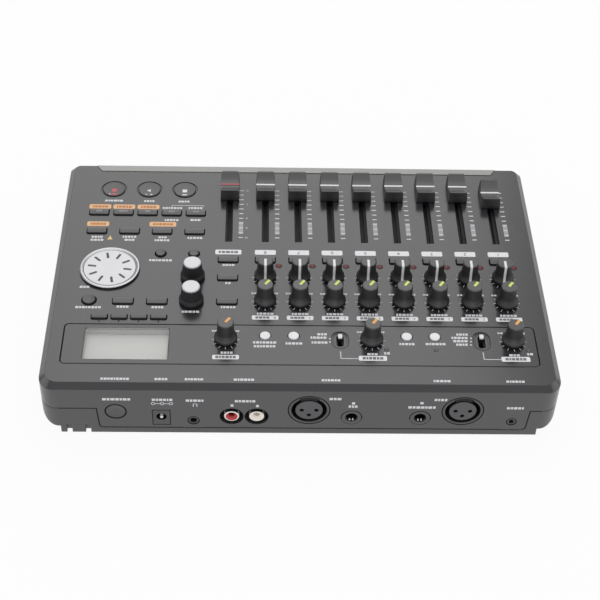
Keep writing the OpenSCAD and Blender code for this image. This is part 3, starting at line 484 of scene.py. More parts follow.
white_ink = print_ink("white_ink", tone(214, 214, 217))
tick_ink = print_ink("tick_ink", tone(210, 210, 213))
scale_ink = print_ink("scale_ink", tone(158, 158, 161))
cap_ink = print_ink("cap_ink", tone(148, 148, 152))
plate_white = print_ink("plate_white", tone(230, 230, 232))
plate_orange = print_ink("plate_orange", tone(230, 182, 134))
dark_ink = print_ink("dark_ink", tone(112, 112, 116))
dash_ink = print_ink("dash_ink", tone(72, 72, 75))
black_print_and_shade = print_ink("black_print_and_shade", tone(26, 26, 28))
rust_ink = print_ink("rust_ink", tone(178, 116, 70))
yellow_ink = print_ink("yellow_ink", tone(224, 198, 124))
pan_white = print_ink("pan_white", tone(226, 226, 228))
reverb_green = print_ink("reverb_green", tone(206, 224, 112))
level_orange = print_ink("level_orange", tone(236, 172, 92))
line_red = print_ink("line_red", tone(172, 88, 94))
sign_red = print_ink("sign_red", tone(196, 86, 94))
lens_and_highlight_white = print_ink("lens_and_highlight_white", tone(226, 226, 228))


# Modelling steps
def begin(name):
    """Open a new empty piece in edit mode."""
    bpy.ops.object.select_all(action="DESELECT")
    bpy.ops.object.add(type="MESH")
    piece = bpy.context.object
    piece.name = name
    piece.data.name = name
    bpy.ops.object.mode_set(mode="EDIT")
    return piece


def pick(piece, wanted):
    """Select only the corners whose place passes a test."""
    bpy.ops.mesh.select_all(action="DESELECT")
    mesh = bmesh.from_edit_mesh(piece.data)
    for corner in mesh.verts:
        corner.select = wanted(corner.co)
    mesh.select_flush_mode()
    bmesh.update_edit_mesh(piece.data)


def lift(height):
    """Give flat selected faces a thickness in millimetres."""
    bpy.ops.mesh.extrude_region_move(TRANSFORM_OT_translate={"value": (0, 0, height * MM)})


def close():
    """Merge doubles, turn faces outwards and leave edit mode."""
    bpy.ops.mesh.select_all(action="SELECT")
    bpy.ops.mesh.remove_doubles(threshold=1e-7)
    bpy.ops.mesh.normals_make_consistent(inside=False)
    bpy.ops.object.mode_set(mode="OBJECT")


def settle(piece, place, material, body="chassis", smooth=30.0):
    """Put a modelled piece in its place, with its finish and the body that it rides on."""
    bpy.ops.object.select_all(action="DESELECT")
    piece.select_set(True)
    bpy.context.view_layer.objects.active = piece
    piece.matrix_world = place
    bpy.ops.object.transform_apply(location=True, rotation=True, scale=True)
    bpy.ops.object.shade_smooth_by_angle(angle=math.radians(smooth))
    piece.data.materials.append(material)
    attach(piece, body)
    return piece


def joined(pieces, name):
    """Several pieces made into one."""
    bpy.ops.object.select_all(action="DESELECT")
    for piece in pieces:
        piece.select_set(True)
    bpy.context.view_layer.objects.active = pieces[0]
    bpy.ops.object.join()
    pieces[0].name = name
    pieces[0].data.name = name
    return pieces[0]


def copies(piece, name, places):
    """Join copies of a modelled piece, one at each place, and drop the model itself."""
    made = []
    for place in places:
        copy = piece.copy()
        copy.data = piece.data.copy()
        bpy.context.scene.collection.objects.link(copy)
        copy.data.transform(place)
        made.append(copy)
    bpy.data.objects.remove(piece)
    return joined(made, name)


def at(x, y, z=0.0, turn=0.0):
    """Place in millimetres, turned by degrees about the upright axis."""
    return Matrix.Translation(Vector((x, y, z)) * MM) @ Matrix.Rotation(math.radians(turn), 4, "Z")


def patch(x, y, width, height):
    """Flat rectangle in the open piece, in millimetres."""
    middle = (x * MM, y * MM, -INK * MM)
    bpy.ops.mesh.primitive_plane_add(size=MM, location=middle)
    bpy.ops.transform.resize(value=(width, height, 1), center_override=middle)


def bars(name, patches, corner=0.0):
    """Thin printed film from flat rectangles, with round corners of this radius in millimetres."""
    piece = begin(name)
    for entry in patches:
        patch(*entry)
        if corner:
            bpy.ops.mesh.bevel(offset=corner * MM, segments=4, affect="VERTICES")
    film()
    return piece


def word(x, y, width, height=1.7):
    """Blank letter blocks that fill a label's width."""
    shares = (1.0, 0.75, 1.1, 0.9, 0.6)
    gap = 0.24 * height
    count = max(1, round((width + gap) / (0.88 * height + gap)))
    widths = [shares[index % len(shares)] for index in range(count)]
    unit = (width - gap * (count - 1)) / sum(widths)
    left = x - width / 2
    patches = []
    for share in widths:
        patches.append((left + share * unit / 2, y, share * unit, height))
        left += share * unit + gap
    return patches


def words(labels, height=1.7):
    """Letter blocks of several labels, each given by its middle and width."""
    return [block for x, y, width in labels for block in word(x, y, width, height)]


def numerals(name, entries, size):
    """Plain numbers, each centred on its place."""
    made = []
    for figure, x, y in entries:
        bpy.ops.object.select_all(action="DESELECT")
        bpy.ops.object.text_add()
        number = bpy.context.object
        number.data.body = figure
        number.data.size = size * MM
        number.data.align_x = "CENTER"
        number.data.align_y = "CENTER"
        number.data.extrude = INK * MM
        number.data.resolution_u = 4
        bpy.ops.object.convert(target="MESH")
        number = bpy.context.object
        number.data.transform(at(x, y, INK))
        made.append(number)
    return joined(made, name)


def ribbon(name, path, width, thickness):
    """Strip of even width that follows a path of (along, up) points, sunk by its thickness."""
    piece = begin(name)
    start, *rest = [Vector((0, along, up)) * MM for along, up in path]
    bpy.ops.mesh.primitive_plane_add(size=width * MM, location=start + Vector((0, width * MM / 2, 0)))
    pick(piece, lambda co: co.y > start.y + width * MM / 2)
    bpy.ops.mesh.delete(type="VERT")
    bpy.ops.mesh.select_all(action="SELECT")
    here = start
    for there in rest:
        bpy.ops.mesh.extrude_edges_move(TRANSFORM_OT_translate={"value": there - here})
        here = there
    bpy.ops.mesh.select_all(action="SELECT")
    bpy.ops.mesh.normals_make_consistent(inside=False)
    bpy.ops.mesh.solidify(thickness=thickness * MM)
    close()
    return piece


def hoop(x, y, radius, width):
    """Flat ring in the open piece, in millimetres."""
    bpy.ops.mesh.primitive_circle_add(
        vertices=32, radius=radius * MM, fill_type="NOTHING", location=(x * MM, y * MM, -INK * MM))
    inner = (radius - width) / radius
    middle = (x * MM, y * MM, -INK * MM)
    bpy.ops.mesh.extrude_edges_move()
    bpy.ops.transform.resize(value=(inner, inner, 1), center_override=middle)


def spot(x, y, radius, sides=32, turn=0.0):
    """Flat round or pointed patch in the open piece, in millimetres."""
    bpy.ops.mesh.primitive_circle_add(
        vertices=sides,
        radius=radius * MM,
        fill_type="NGON",
        location=(x * MM, y * MM, -INK * MM),
        rotation=(0, 0, math.radians(turn)),
    )


def film():
    """Give all flat patches of the open piece the thickness of a print and close it."""
    bpy.ops.mesh.select_all(action="SELECT")
    lift(2 * INK)
    close()


# Scales beside the faders
SCALE_FOOT = -66.5
SCALE_PITCH = 4.49
SCALE_X = -7.25
TICK = (2.7, 0.8)
FIELD_STEP = 8
FIELD_STEPS = 2.6
FIELD_SINK = 0.01
FIGURE_X = -10.8
FIGURE_STEPS = (0, 3, 6, 8, 10)
strip_places = [track_x(number) for number in TRACKS] + [panel_middle("master_fader").x]
ticks = [(SCALE_X, SCALE_FOOT + SCALE_PITCH * step, *TICK) for step in range(11)]
scale = copies(bars("scale", ticks), "fader_scales", [at(x, 0) for x in strip_places])
settle(scale, PANEL, tick_ink)
field_y = SCALE_FOOT + SCALE_PITCH * FIELD_STEP
field = bars("field", [(SCALE_X, field_y, TICK[0], FIELD_STEPS * SCALE_PITCH)])
field = copies(field, "fader_scale_fields", [at(x, 0, -FIELD_SINK) for x in strip_places])
settle(field, PANEL, scale_ink)
master_x = strip_places[-1]
figures = [(str(step), master_x + FIGURE_X, SCALE_FOOT + SCALE_PITCH * step) for step in FIGURE_STEPS]
settle(numerals("master_scale_numbers", figures, 2.2), PANEL, tick_ink)

# Plates and numbers of the record keys and of the track names
PLATE_Y = -8.2
RECORD_PLATE = (12.6, 4.25)
MASTER_PLATE = (15.7, 4.25)
NAME_Y = 48.0
NAME_PLATE = (15.3, 3.4)
NAME_SHIFT = 1.6
NUMBER_SHIFT = -5.6
CORNER = 0.8
plates = [(track_x(n), PLATE_Y, *RECORD_PLATE) for n in TRACKS]
settle(bars("record_plates", plates, CORNER), PANEL, plate_white)
track_numbers = [(str(n), track_x(n), PLATE_Y) for n in TRACKS]
settle(numerals("track_numbers", track_numbers, 3.6), PANEL @ at(0, 0, INK), dark_ink)
settle(bars("master_plate", [(master_x, PLATE_Y, *MASTER_PLATE)], CORNER), PANEL, plate_white)
settle(bars("master_plate_label", word(master_x, PLATE_Y, 11.6, 2.0)), PANEL @ at(0, 0, INK), dark_ink)
plates = [(track_x(n), NAME_Y, *NAME_PLATE) for n in TRACKS]
settle(bars("track_plates", plates, CORNER), PANEL, plate_white)
name_labels = words([(track_x(n) + NAME_SHIFT, NAME_Y, 8.0) for n in TRACKS])
settle(bars("track_plate_labels", name_labels), PANEL @ at(0, 0, INK), dark_ink)
name_numbers = [(str(n), track_x(n) + NUMBER_SHIFT, NAME_Y) for n in TRACKS]
settle(numerals("track_plate_numbers", name_numbers, 2.6), PANEL @ at(0, 0, INK), dark_ink)

# Tick rings round the pointer knobs, and the marks at their ends
pan_turns = [f"pan_{number}_turn" for number in TRACKS]
reverb_turns = [f"reverb_{number}_turn" for number in TRACKS]
rear_turns = ["trim_a_turn", "trim_b_turn", "level_turn"]
ring_places = [turning_point(name) for name in pan_turns + reverb_turns + rear_turns]
RING_R = 6.9
RING_TICK = (0.35, 1.9)
END_MARKS = [(6.6, 3.0), (-6.5, 2.2)]
END_DROP = 6.8
END_LETTER = 1.3
tick_places = [at(0, 0, 0, turn) for turn in range(-150, 151, 30)]
ring = copies(bars("tick", [(0, RING_R, *RING_TICK)]), "ring", tick_places)
rings = copies(ring, "knob_rings", [at(place.x, place.y) for place in ring_places])
settle(rings, PANEL, tick_ink)
end_marks = []
for name in reverb_turns + rear_turns:
    place = turning_point(name)
    for x, width in END_MARKS:
        end_marks += word(place.x + x, place.y - END_DROP, width, END_LETTER)
settle(bars("knob_end_marks", end_marks), PANEL, tick_ink)

# Labels of the panel: middle across, middle along and width of each, in millimetres
TRACK_LABEL_Y = 44.8
EDGE_Y = 97.0
EDGE_LETTER = 1.6
panel_labels = [
    (114.8, -55.3, 11.0), (92.8, -55.2, 6.4), (71.1, -55.1, 6.8), (78.0, -48.7, 12.0), (63.7, -48.9, 8.6),
    (78.0, -37.2, 8.4), (63.3, -37.5, 6.2), (122.4, -20.9, 6.6), (122.2, -18.1, 7.7), (102.8, -21.2, 8.2),
    (102.6, -18.4, 6.0), (82.7, -21.0, 4.9), (82.9, -18.3, 8.9), (63.0, -20.7, 8.9), (82.8, -0.2, 13.6),
    (125.9, 23.6, 5.6), (122.3, 40.7, 14.6), (102.5, 40.0, 6.8), (82.4, 40.2, 6.8), (63.2, 43.7, 10.0),
    (42.1, 3.4, 7.1), (42.1, 19.2, 3.2), (41.6, 39.6, 8.5), (41.7, 76.4, 6.7), (20.4, 68.1, 13.1),
    (20.4, 71.1, 12.1), (3.8, 68.7, 9.4), (-60.3, 68.5, 8.6), (-76.6, 68.3, 11.3), (-12.3, 61.2, 5.4),
    (-10.2, 63.9, 9.0), (-10.7, 67.8, 9.0), (-92.4, 60.5, 6.6), (-90.7, 63.2, 9.2), (-91.0, 65.8, 8.1),
    (-91.6, 68.6, 6.5), (-40.3, 76.7, 5.8), (-120.6, 76.7, 6.0), (-48.5, 75.9, 3.2), (-129.5, 75.7, 3.4),
]
panel_labels += [(track_x(number), TRACK_LABEL_Y, 9.6) for number in TRACKS]
settle(bars("panel_labels", words(panel_labels)), PANEL, white_ink)
edge_labels = [
    (102.7, 15.6), (77.3, 7.0), (59.2, 10.1), (31.7, 11.2), (-16.3, 10.3), (-77.8, 9.4), (-118.6, 10.1),
]
edge_labels = words([(x, EDGE_Y, width) for x, width in edge_labels], EDGE_LETTER)
settle(bars("edge_labels", edge_labels), PANEL, white_ink)

# Plates of the level and input sections, brackets, squares and lines
PLATE_LETTER = 1.9
ORANGE_CORNER = 1.1
ORANGE_MARGIN = 2.1
plates = [(42.2, 79.8, 15.0, 3.4), (-40.4, 79.9, 15.9, 3.8), (-121.0, 79.8, 16.3, 3.8)]
settle(bars("section_plates", plates, CORNER), PANEL, plate_white)
plate_words = words([(42.2, 79.8, 11.4), (-40.4, 79.9, 11.6), (-121.0, 79.8, 11.8)], PLATE_LETTER)
settle(bars("section_plate_labels", plate_words), PANEL @ at(0, 0, INK), dark_ink)
lines = [
    (-22.4, 77.4, 0.45, 5.6), (-27.3, 80.2, 9.8, 0.45), (-103.0, 77.3, 0.45, 5.6), (-107.8, 80.1, 9.6, 0.45),
    (68.5, -51.3, 19.9, 0.35), (78.3, -50.7, 0.35, 1.2), (58.7, -50.7, 0.35, 1.2),
]
squares = [(-16.7, 64.7), (-16.7, 67.3), (-97.3, 63.4), (-97.0, 66.1), (-96.7, 68.7)]
lines += [(x, y, 1.0, 1.0) for x, y in squares]
settle(bars("bracket_lines", lines), PANEL, white_ink)
orange = [
    (122.75, -49.5, 13.5, 4.2), (107.95, -49.5, 13.5, 4.2), (92.9, -49.5, 13.5, 4.2),
    (122.7, -33.0, 13.5, 4.4), (83.1, -33.2, 16.4, 4.3),
]
settle(bars("orange_plates", orange, ORANGE_CORNER), PANEL, plate_orange)
orange_words = words([(x, y, width - 2 * ORANGE_MARGIN) for x, y, width, depth in orange], PLATE_LETTER)
settle(bars("orange_plate_labels", orange_words), PANEL @ at(0, 0, INK), rust_ink)

# Yellow triangle, and the ticks of the display keys
MARK_X = 114.5
MARK_Y = -19.8
MARK_R = 1.8
MARK_STRETCH = 1.4
DISPLAY_TICKS = (81.25, 92.55, 103.85, 115.15)
DISPLAY_TICK_Y = 52.0
DISPLAY_TICK = (0.9, 1.3)
triangle = begin("yellow_mark")
spot(MARK_X, MARK_Y, MARK_R, 3, 180)
bpy.ops.transform.resize(value=(1, MARK_STRETCH, 1), center_override=(MARK_X * MM, MARK_Y * MM, 0))
film()
settle(triangle, PANEL, yellow_ink)
display_ticks = [(x, DISPLAY_TICK_Y, *DISPLAY_TICK) for x in DISPLAY_TICKS]
settle(bars("display_ticks", display_ticks), PANEL, black_print_and_shade)

# Dashes on the data wheel
DASH = (4.9, 1.45)
DASH_MIDDLE = 10.65
DASH_TURN = 28.5
DASH_CORNER = 0.4
DASH_SINK = 0.1
dash_z = panel_box("data_wheel")[1].z - DASH_SINK
wheel_place = turning_point("data_wheel_turn")
dash = bars("dash", [(DASH_MIDDLE, 0, *DASH)], DASH_CORNER)
dashes = [at(wheel_place.x, wheel_place.y, dash_z, DASH_TURN + 36 * step) for step in range(10)]
settle(copies(dash, "wheel_dashes", dashes), PANEL, dash_ink, "data_wheel")

# Painted shade: black rings where the steps round the switch levers fall in shadow
SWITCH_TRAVEL = [("input_switch_a", 5.0), ("input_switch_b", 4.0)]
STEP_BACK = 0.3
STEP_R = 5.0
STEP_W = 0.4
for node, travel in SWITCH_TRAVEL:
    middle_x = panel_middle(node).x
    middle_y = turning_point("trim_a_turn").y - STEP_BACK
    steps = begin(f"{node}_steps")
    hoop(middle_x, middle_y, STEP_R, STEP_W)
    for side in (1, -1):
        pick(steps, lambda co: side * (co.y - middle_y * MM) > 0.01 * MM)
        bpy.ops.transform.translate(value=(0, side * travel / 2 * MM, 0))
    film()
    settle(steps, PANEL, black_print_and_shade)

# Bright ring round the data wheel
RING_MIDDLE = 16.9
RING_HALF = (0.85, 0.32)
RING_RISE = 1.3
wheel_ring = begin("wheel_ring")
middle = (RING_MIDDLE * MM, 0, 0)
bpy.ops.mesh.primitive_circle_add(vertices=20, radius=MM, fill_type="NOTHING", location=middle)
bpy.ops.transform.resize(value=(*RING_HALF, 1), center_override=middle)
bpy.ops.transform.rotate(value=math.radians(90), orient_axis="X", center_override=middle)
bpy.ops.mesh.spin(steps=120, angle=math.radians(360), center=(0, 0, 0), axis=(0, 0, 1))
close()
ring_place = PANEL @ at(wheel_place.x, wheel_place.y, RING_RISE)
settle(wheel_ring, ring_place, ring_chrome, "data_wheel", 60.0)

# Floors of the moats round the transport buttons
MOAT_R = (7.98, 7.05)
MOAT_DEPTH = 0.45
MOAT_FLOOR = 0.3
moats = begin("transport_moats")
for node in ("record_button", "play_button", "stop_button"):
    place = panel_middle(node)
    hoop(place.x, place.y, MOAT_R[0], MOAT_R[0] - MOAT_R[1])
bpy.ops.mesh.select_all(action="SELECT")
lift(-MOAT_FLOOR)
close()
settle(moats, PANEL @ at(0, 0, -MOAT_DEPTH), key_grey)

# Painted shade: a dark line in the groove round the rear field, on its far side and its ends
FIELD = (134.5, 53.9, 85.9)
FIELD_CORNER = 3.0
LINE_W = 0.68
LINE_DEPTH = 0.34
field_groove_shade = begin("field_groove_shade")
patch(0, (FIELD[1] + FIELD[2]) / 2, 2 * FIELD[0], FIELD[2] - FIELD[1])
bpy.ops.mesh.bevel(offset=FIELD_CORNER * MM, segments=6, affect="VERTICES")
bpy.ops.mesh.inset(thickness=LINE_W * MM, depth=0)
bpy.ops.mesh.delete(type="FACE")
pick(field_groove_shade, lambda co: co.y > (FIELD[2] - 2 * LINE_W) * MM)
bpy.ops.mesh.delete(type="VERT")
film()
settle(field_groove_shade, PANEL @ at(0, 0, -LINE_DEPTH), gap_shade_black)

# Small bars on the caps of the locating keys
LOCATE_TOP = panel_box("locate_keys")[1].z
LOCATE_Y = -43.9
LOCATE_LETTER = 1.2
cap_bars = [(122.9, 3.4), (108.0, 5.0), (93.1, 2.6), (78.2, 3.4), (63.3, 3.4)]
cap_bars = words([(x, LOCATE_Y, width) for x, width in cap_bars], LOCATE_LETTER)
settle(bars("locate_key_marks", cap_bars), PANEL @ at(0, 0, LOCATE_TOP), cap_ink, "locate_keys")

# Pointers on the knobs: long lines that run down the pan knobs, and short ones on the other knobs
KNOB_TOP = [(4.15, 14.0), (4.55, 13.5)]
KNOB_SIDE = [(4.9, 6.9), (5.1, 5.7), (5.75, 4.1), (6.5, 3.0)]
FLUSH = 0.02
PAN_TURN = 0
LOW_TURN = 145
PAN_W = 1.46
LOW_W = 1.56
POINTER_DEPTH = 0.3
pan_path = [(-1.17, 14.0)] + KNOB_TOP + KNOB_SIDE
low_path = [(-0.17, 14.0)] + KNOB_TOP
pan_pointer = ribbon("pan_pointer", [(along, up + FLUSH) for along, up in pan_path], PAN_W, POINTER_DEPTH)
low_pointer = ribbon("low_pointer", [(along, up + FLUSH) for along, up in low_path], LOW_W, POINTER_DEPTH)
pan_knobs = [f"pan_knob_{number}" for number in TRACKS]
reverb_knobs = [f"reverb_knob_{number}" for number in TRACKS]
rear_knobs = ["trim_knob_a", "trim_knob_b", "level_knob"]
pointer_sets = [
    (pan_pointer, PAN_TURN, pan_white, pan_turns, pan_knobs),
    (low_pointer, LOW_TURN, reverb_green, reverb_turns, reverb_knobs),
    (low_pointer, LOW_TURN, level_orange, rear_turns, rear_knobs),
]
for model, turn, ink, turns, bodies in pointer_sets:
    for joint, body in zip(turns, bodies):
        place = turning_point(joint)
        mark = copies(model.copy(), f"{body}_pointer", [at(place.x, place.y, 0, turn)])
        settle(mark, PANEL, ink, body)
bpy.data.objects.remove(pan_pointer)
bpy.data.objects.remove(low_pointer)

# Lines on the ribs of the fader caps
RIB_TOP = 6.1
RIB_Y = 0.46
RIB_DEPTH = 0.35
RIB = (11.66, 1.3)
stripe = begin("stripe")
patch(0, 0, *RIB)
lift(RIB_DEPTH)
close()
for body in fader_names:
    middle = panel_middle(body)
    place = at(middle.x, middle.y + RIB_Y, RIB_TOP - RIB_DEPTH + 2 * INK)
    mark = copies(stripe.copy(), f"{body}_line", [place])
    settle(mark, PANEL, line_red if body == "master_fader" else pan_white, body)
bpy.data.objects.remove(stripe)

# Signs and windows on the transport buttons, and painted highlights on their caps
BUTTON_TOP = panel_box("play_button")[1].z
BUTTON_DISH = BUTTON_TOP - 0.19
LENS_TOP = BUTTON_TOP - 0.03
SIGN_BACK = 1.3
SIGN_R = 1.7
STOP_SIDE = 2.8
RECORD_SHIFT = -0.3
LENS_BACK = 5.3
LENS_CORNER = 0.3
record_place = panel_middle("record_button")
play_place = panel_middle("play_button")
stop_place = panel_middle("stop_button")
dot = begin("record_sign")
spot(record_place.x + RECORD_SHIFT, record_place.y + SIGN_BACK, SIGN_R)
film()
settle(dot, PANEL @ at(0, 0, BUTTON_DISH), sign_red, "record_button")
arrow = begin("play_sign")
spot(play_place.x, play_place.y + SIGN_BACK, SIGN_R, 3, -90)
film()
settle(arrow, PANEL @ at(0, 0, BUTTON_DISH), tick_ink, "play_button")
block = bars("stop_sign", [(stop_place.x, stop_place.y + SIGN_BACK, STOP_SIDE, STOP_SIDE)])
settle(block, PANEL @ at(0, 0, BUTTON_DISH), lens_and_highlight_white, "stop_button")
lenses = [
    ("record_lens", record_place, [(RECORD_SHIFT, 3.6, 1.3)], sign_red, "record_button"),
    # Specks: small white patches on the caps as painted highlights
    ("record_speck", record_place, [(2.3, 0.9, 0.8)], lens_and_highlight_white, "record_button"),
    ("play_specks", play_place, [(1.7, 0.9, 0.8), (-1.4, 1.3, 0.8)], lens_and_highlight_white, "play_button"),
    ("stop_lens", stop_place, [(0.0, 3.0, 0.9)], lens_and_highlight_white, "stop_button"),
]
for name, place, marks, ink, body in lenses:
    marks = [(place.x + x, place.y + LENS_BACK, width, depth) for x, width, depth in marks]
    lens = bars(name, marks, LENS_CORNER)
    settle(lens, PANEL @ at(0, 0, LENS_TOP), ink, body)

# Labels and signs of the rear wall: middle across, height and width of each label
REAR_LETTER = 1.9
POLARITY_X = -77.0
POLARITY_Z = 26.1
POLARITY_PITCH = 4.9
POLARITY_R = 1.15
POLARITY_DASH = 2.6
SIGN_LINE = 0.4
rear_labels = [
    (102.1, 29.5, 15.5), (76.8, 29.3, 11.3), (58.9, 28.8, 9.8), (31.0, 28.6, 11.3), (-19.0, 31.0, 6.6),
    (-29.1, 24.7, 5.0), (-77.6, 30.8, 7.0), (-67.6, 24.3, 15.3), (-120.0, 24.2, 9.5), (38.2, 24.9, 1.6),
    (24.1, 24.6, 1.6), (-29.2, 27.4, 1.8), (-67.3, 28.0, 1.8),
]
# Across the rear wall's frame runs against the case's own x
rear_blocks = words([(-x, z, width) for x, z, width in rear_labels], REAR_LETTER)
settle(bars("rear_labels", rear_blocks), REAR, white_ink)
polarity = begin("polarity_sign")
for offset in (-POLARITY_PITCH, 0.0, POLARITY_PITCH):
    hoop(POLARITY_X + offset, POLARITY_Z, POLARITY_R, SIGN_LINE)
for side in (-1, 1):
    patch(POLARITY_X + side * POLARITY_PITCH / 2, POLARITY_Z, POLARITY_DASH, SIGN_LINE)
film()
settle(polarity, REAR, white_ink)
phones = [(-58.7, 26.1, 2.4, 0.4), (-59.7, 24.9, 0.5, 2.4), (-57.7, 24.9, 0.5, 2.4)]
settle(bars("phones_sign", phones), REAR, white_ink)

# Places of the sockets on the rear wall: across and height, and for the jacks the radii of their bezels
MIC_SOCKETS = [(90.8, 21.3), (4.7, 21.3)]
LINE_OUTS = [(-24.5, 15.6), (-38.5, 15.6)]
LARGE_JACKS = [(67.3, 15.1), (28.7, 15.1)]
LARGE_BEZEL = (5.75, 3.6)
SMALL_BEZELS = [(-59.85, 11.8, 3.05, 2.1), (119.25, 12.4, 2.65, 1.6)]
BEZELS = [(*place, *LARGE_BEZEL) for place in LARGE_JACKS] + SMALL_BEZELS

# Contacts in the large jacks
CONTACT = (0.8, 0.6)
CONTACT_LENGTH = 1.3
CONTACT_EDGE = 0.12
CONTACT_SIDE = 0.9
CONTACT_DROP = 2.75
CONTACT_DEPTH = 2.0
contact = begin("contact")
patch(0, 0, *CONTACT)
lift(CONTACT_LENGTH)
bpy.ops.mesh.select_all(action="SELECT")
bpy.ops.mesh.bevel(offset=CONTACT_EDGE * MM, segments=2, affect="EDGES")
close()
springs = []
for x, z in LARGE_JACKS:
    springs.append(at(x - CONTACT_SIDE, z - CONTACT_DROP, -CONTACT_DEPTH))
    springs.append(at(x + CONTACT_SIDE, z - CONTACT_DROP, -CONTACT_DEPTH))
settle(copies(contact, "jack_contacts", springs), REAR, pin_silver)

# Latch plates of the microphone sockets: dished strips bent round the socket's axis
LATCH_R = 9.5
LATCH_W = 2.8
LATCH_REACH = 32.0
LATCH_DEPTH = 0.45
LATCH_RIM = 0.25
LATCH_DISH = 0.2
LATCH_THICK = 0.4
latch = begin("latch")
bpy.ops.mesh.primitive_plane_add(size=LATCH_W * MM, location=(LATCH_W / 2 * MM, LATCH_R * MM, 0))
pick(latch, lambda co: co.x > 0.1 * MM)
bpy.ops.mesh.delete(type="VERT")
for reach in (LATCH_REACH, -LATCH_REACH):
    pick(latch, lambda co: abs(co.x) < 0.1 * MM)
    bpy.ops.mesh.spin(steps=7, angle=math.radians(reach), center=(0, 0, 0), axis=(0, 0, 1))
bpy.ops.mesh.select_all(action="SELECT")
bpy.ops.mesh.remove_doubles(threshold=1e-7)
bpy.ops.mesh.inset(thickness=LATCH_RIM * MM, depth=LATCH_DISH * MM)
bpy.ops.mesh.select_all(action="SELECT")
bpy.ops.mesh.normals_make_consistent(inside=False)
bpy.ops.mesh.solidify(thickness=LATCH_THICK * MM)
close()
settle(copies(latch, "latch_plates", [at(x, z, -LATCH_DEPTH) for x, z in MIC_SOCKETS]), REAR, latch_steel)

# Tip of the inlet's pin, and painted shade in the gaps round the inlet and the power button
INLET = (-77.7, 14.3)
INLET_SIZE = (9.9, 12.3)
PIN_R = 0.95
PIN_LENGTH = 1.6
PIN_ROUND = 0.45
PIN_DEPTH = 2.1
GAP = 0.45
POWER_GAP = 0.65
POWER_GAP_W = 0.85
pin_tip = begin("pin_tip")
spot(0, 0, PIN_R, 24)
lift(PIN_LENGTH)
pick(pin_tip, lambda co: co.z > PIN_LENGTH / 2 * MM)
bpy.ops.mesh.bevel(offset=PIN_ROUND * MM, segments=4, affect="EDGES")
close()
settle(copies(pin_tip, "inlet_pin_tip", [at(INLET[0], INLET_AXIS, -PIN_DEPTH)]), REAR, pin_silver)
gaps = [(INLET[0] + side * INLET_SIZE[0] / 2, INLET[1], GAP, INLET_SIZE[1] + GAP) for side in (-1, 1)]
gaps += [(INLET[0], INLET[1] + side * INLET_SIZE[1] / 2, INLET_SIZE[0] + GAP, GAP) for side in (-1, 1)]
settle(bars("inlet_gap_shade", gaps), REAR, gap_shade_black)
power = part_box("power_button")
power_middle = (power[0] + power[1]) / (2 * MM)
power_r = (power[1].x - power[0].x) / (2 * MM)
power_gap_shade = begin("power_gap_shade")
hoop(-power_middle.x, power_middle.z, power_r + POWER_GAP, POWER_GAP_W)
film()
settle(power_gap_shade, REAR, gap_shade_black)

# Bezels of the jacks, and painted shade in the gaps round them, the microphone sockets and the line outputs
LARGE_R = 5.0
BEZEL_DEPTH = 0.6
BEZEL_SINK = 0.1
BEZEL_GAP = 0.4
BEZEL_GAP_W = 0.55
MIC_GAP = (12.0, 0.7)
OUT_GAP = (6.75, 0.45)
bezels = begin("jack_bezels")
for x, z, outer, inner in BEZELS:
    hoop(x, z, outer, outer - inner)
bpy.ops.mesh.select_all(action="SELECT")
lift(BEZEL_DEPTH - BEZEL_SINK)
close()
settle(bezels, REAR @ at(0, 0, -BEZEL_DEPTH), case_grey)
edges = begin("socket_gap_shades")
for x, z in MIC_SOCKETS:
    hoop(x, z, *MIC_GAP)
for x, z in LINE_OUTS:
    hoop(x, z, *OUT_GAP)
for x, z, outer, inner in BEZELS:
    hoop(x, z, outer + BEZEL_GAP, BEZEL_GAP_W)
    if outer > LARGE_R:
        # Painted shadow of the upper lip: round a large jack the dark ring is kept on its upper part only
        pick(edges, lambda co: abs(co.x - x * MM) < 1.5 * outer * MM and co.y < (z - 0.3 * outer) * MM)
        bpy.ops.mesh.delete(type="VERT")
film()
settle(edges, REAR, gap_shade_black)

# Painted shade: a dark film on the seam between the top and the base on the rear wall
SEAM_W = 0.6
CHEEK_SEAM = 21.65
LOW_SEAM = 5.65
TURN_R = 2.35
TURN_Z = 8.0
LEAN = 0.9
LEVEL_SEAMS = [
    (-135.0, -113.55, CHEEK_SEAM), (128.75, 135.0, CHEEK_SEAM),
    (-110.3, -65.4, LOW_SEAM), (-54.3, 113.7, LOW_SEAM),
]
seams = begin("rear_seam_shades")
for left, right, height in LEVEL_SEAMS:
    patch((left + right) / 2, height, right - left, SEAM_W)
for middle_x, side in [(-110.3, -1), (125.5, 1)]:
    foot_x = middle_x + side * TURN_R
    patch(foot_x, (TURN_Z + CHEEK_SEAM) / 2, SEAM_W, CHEEK_SEAM - TURN_Z + SEAM_W)
    pick(seams, lambda co: co.y > 15 * MM and abs(co.x - foot_x * MM) < 0.4 * MM)
    bpy.ops.transform.translate(value=(side * LEAN * MM, 0, 0))
    hoop(middle_x, TURN_Z, TURN_R + SEAM_W / 2, SEAM_W)
    pick(seams, lambda co: abs(co.x - middle_x * MM) < 3 * MM and abs(co.y - TURN_Z * MM) < 3 * MM
         and (side * (co.x - middle_x * MM) < -0.01 * MM or co.y > (TURN_Z + 0.01) * MM))
    bpy.ops.mesh.delete(type="VERT")
film()
settle(seams, REAR, gap_shade_black)

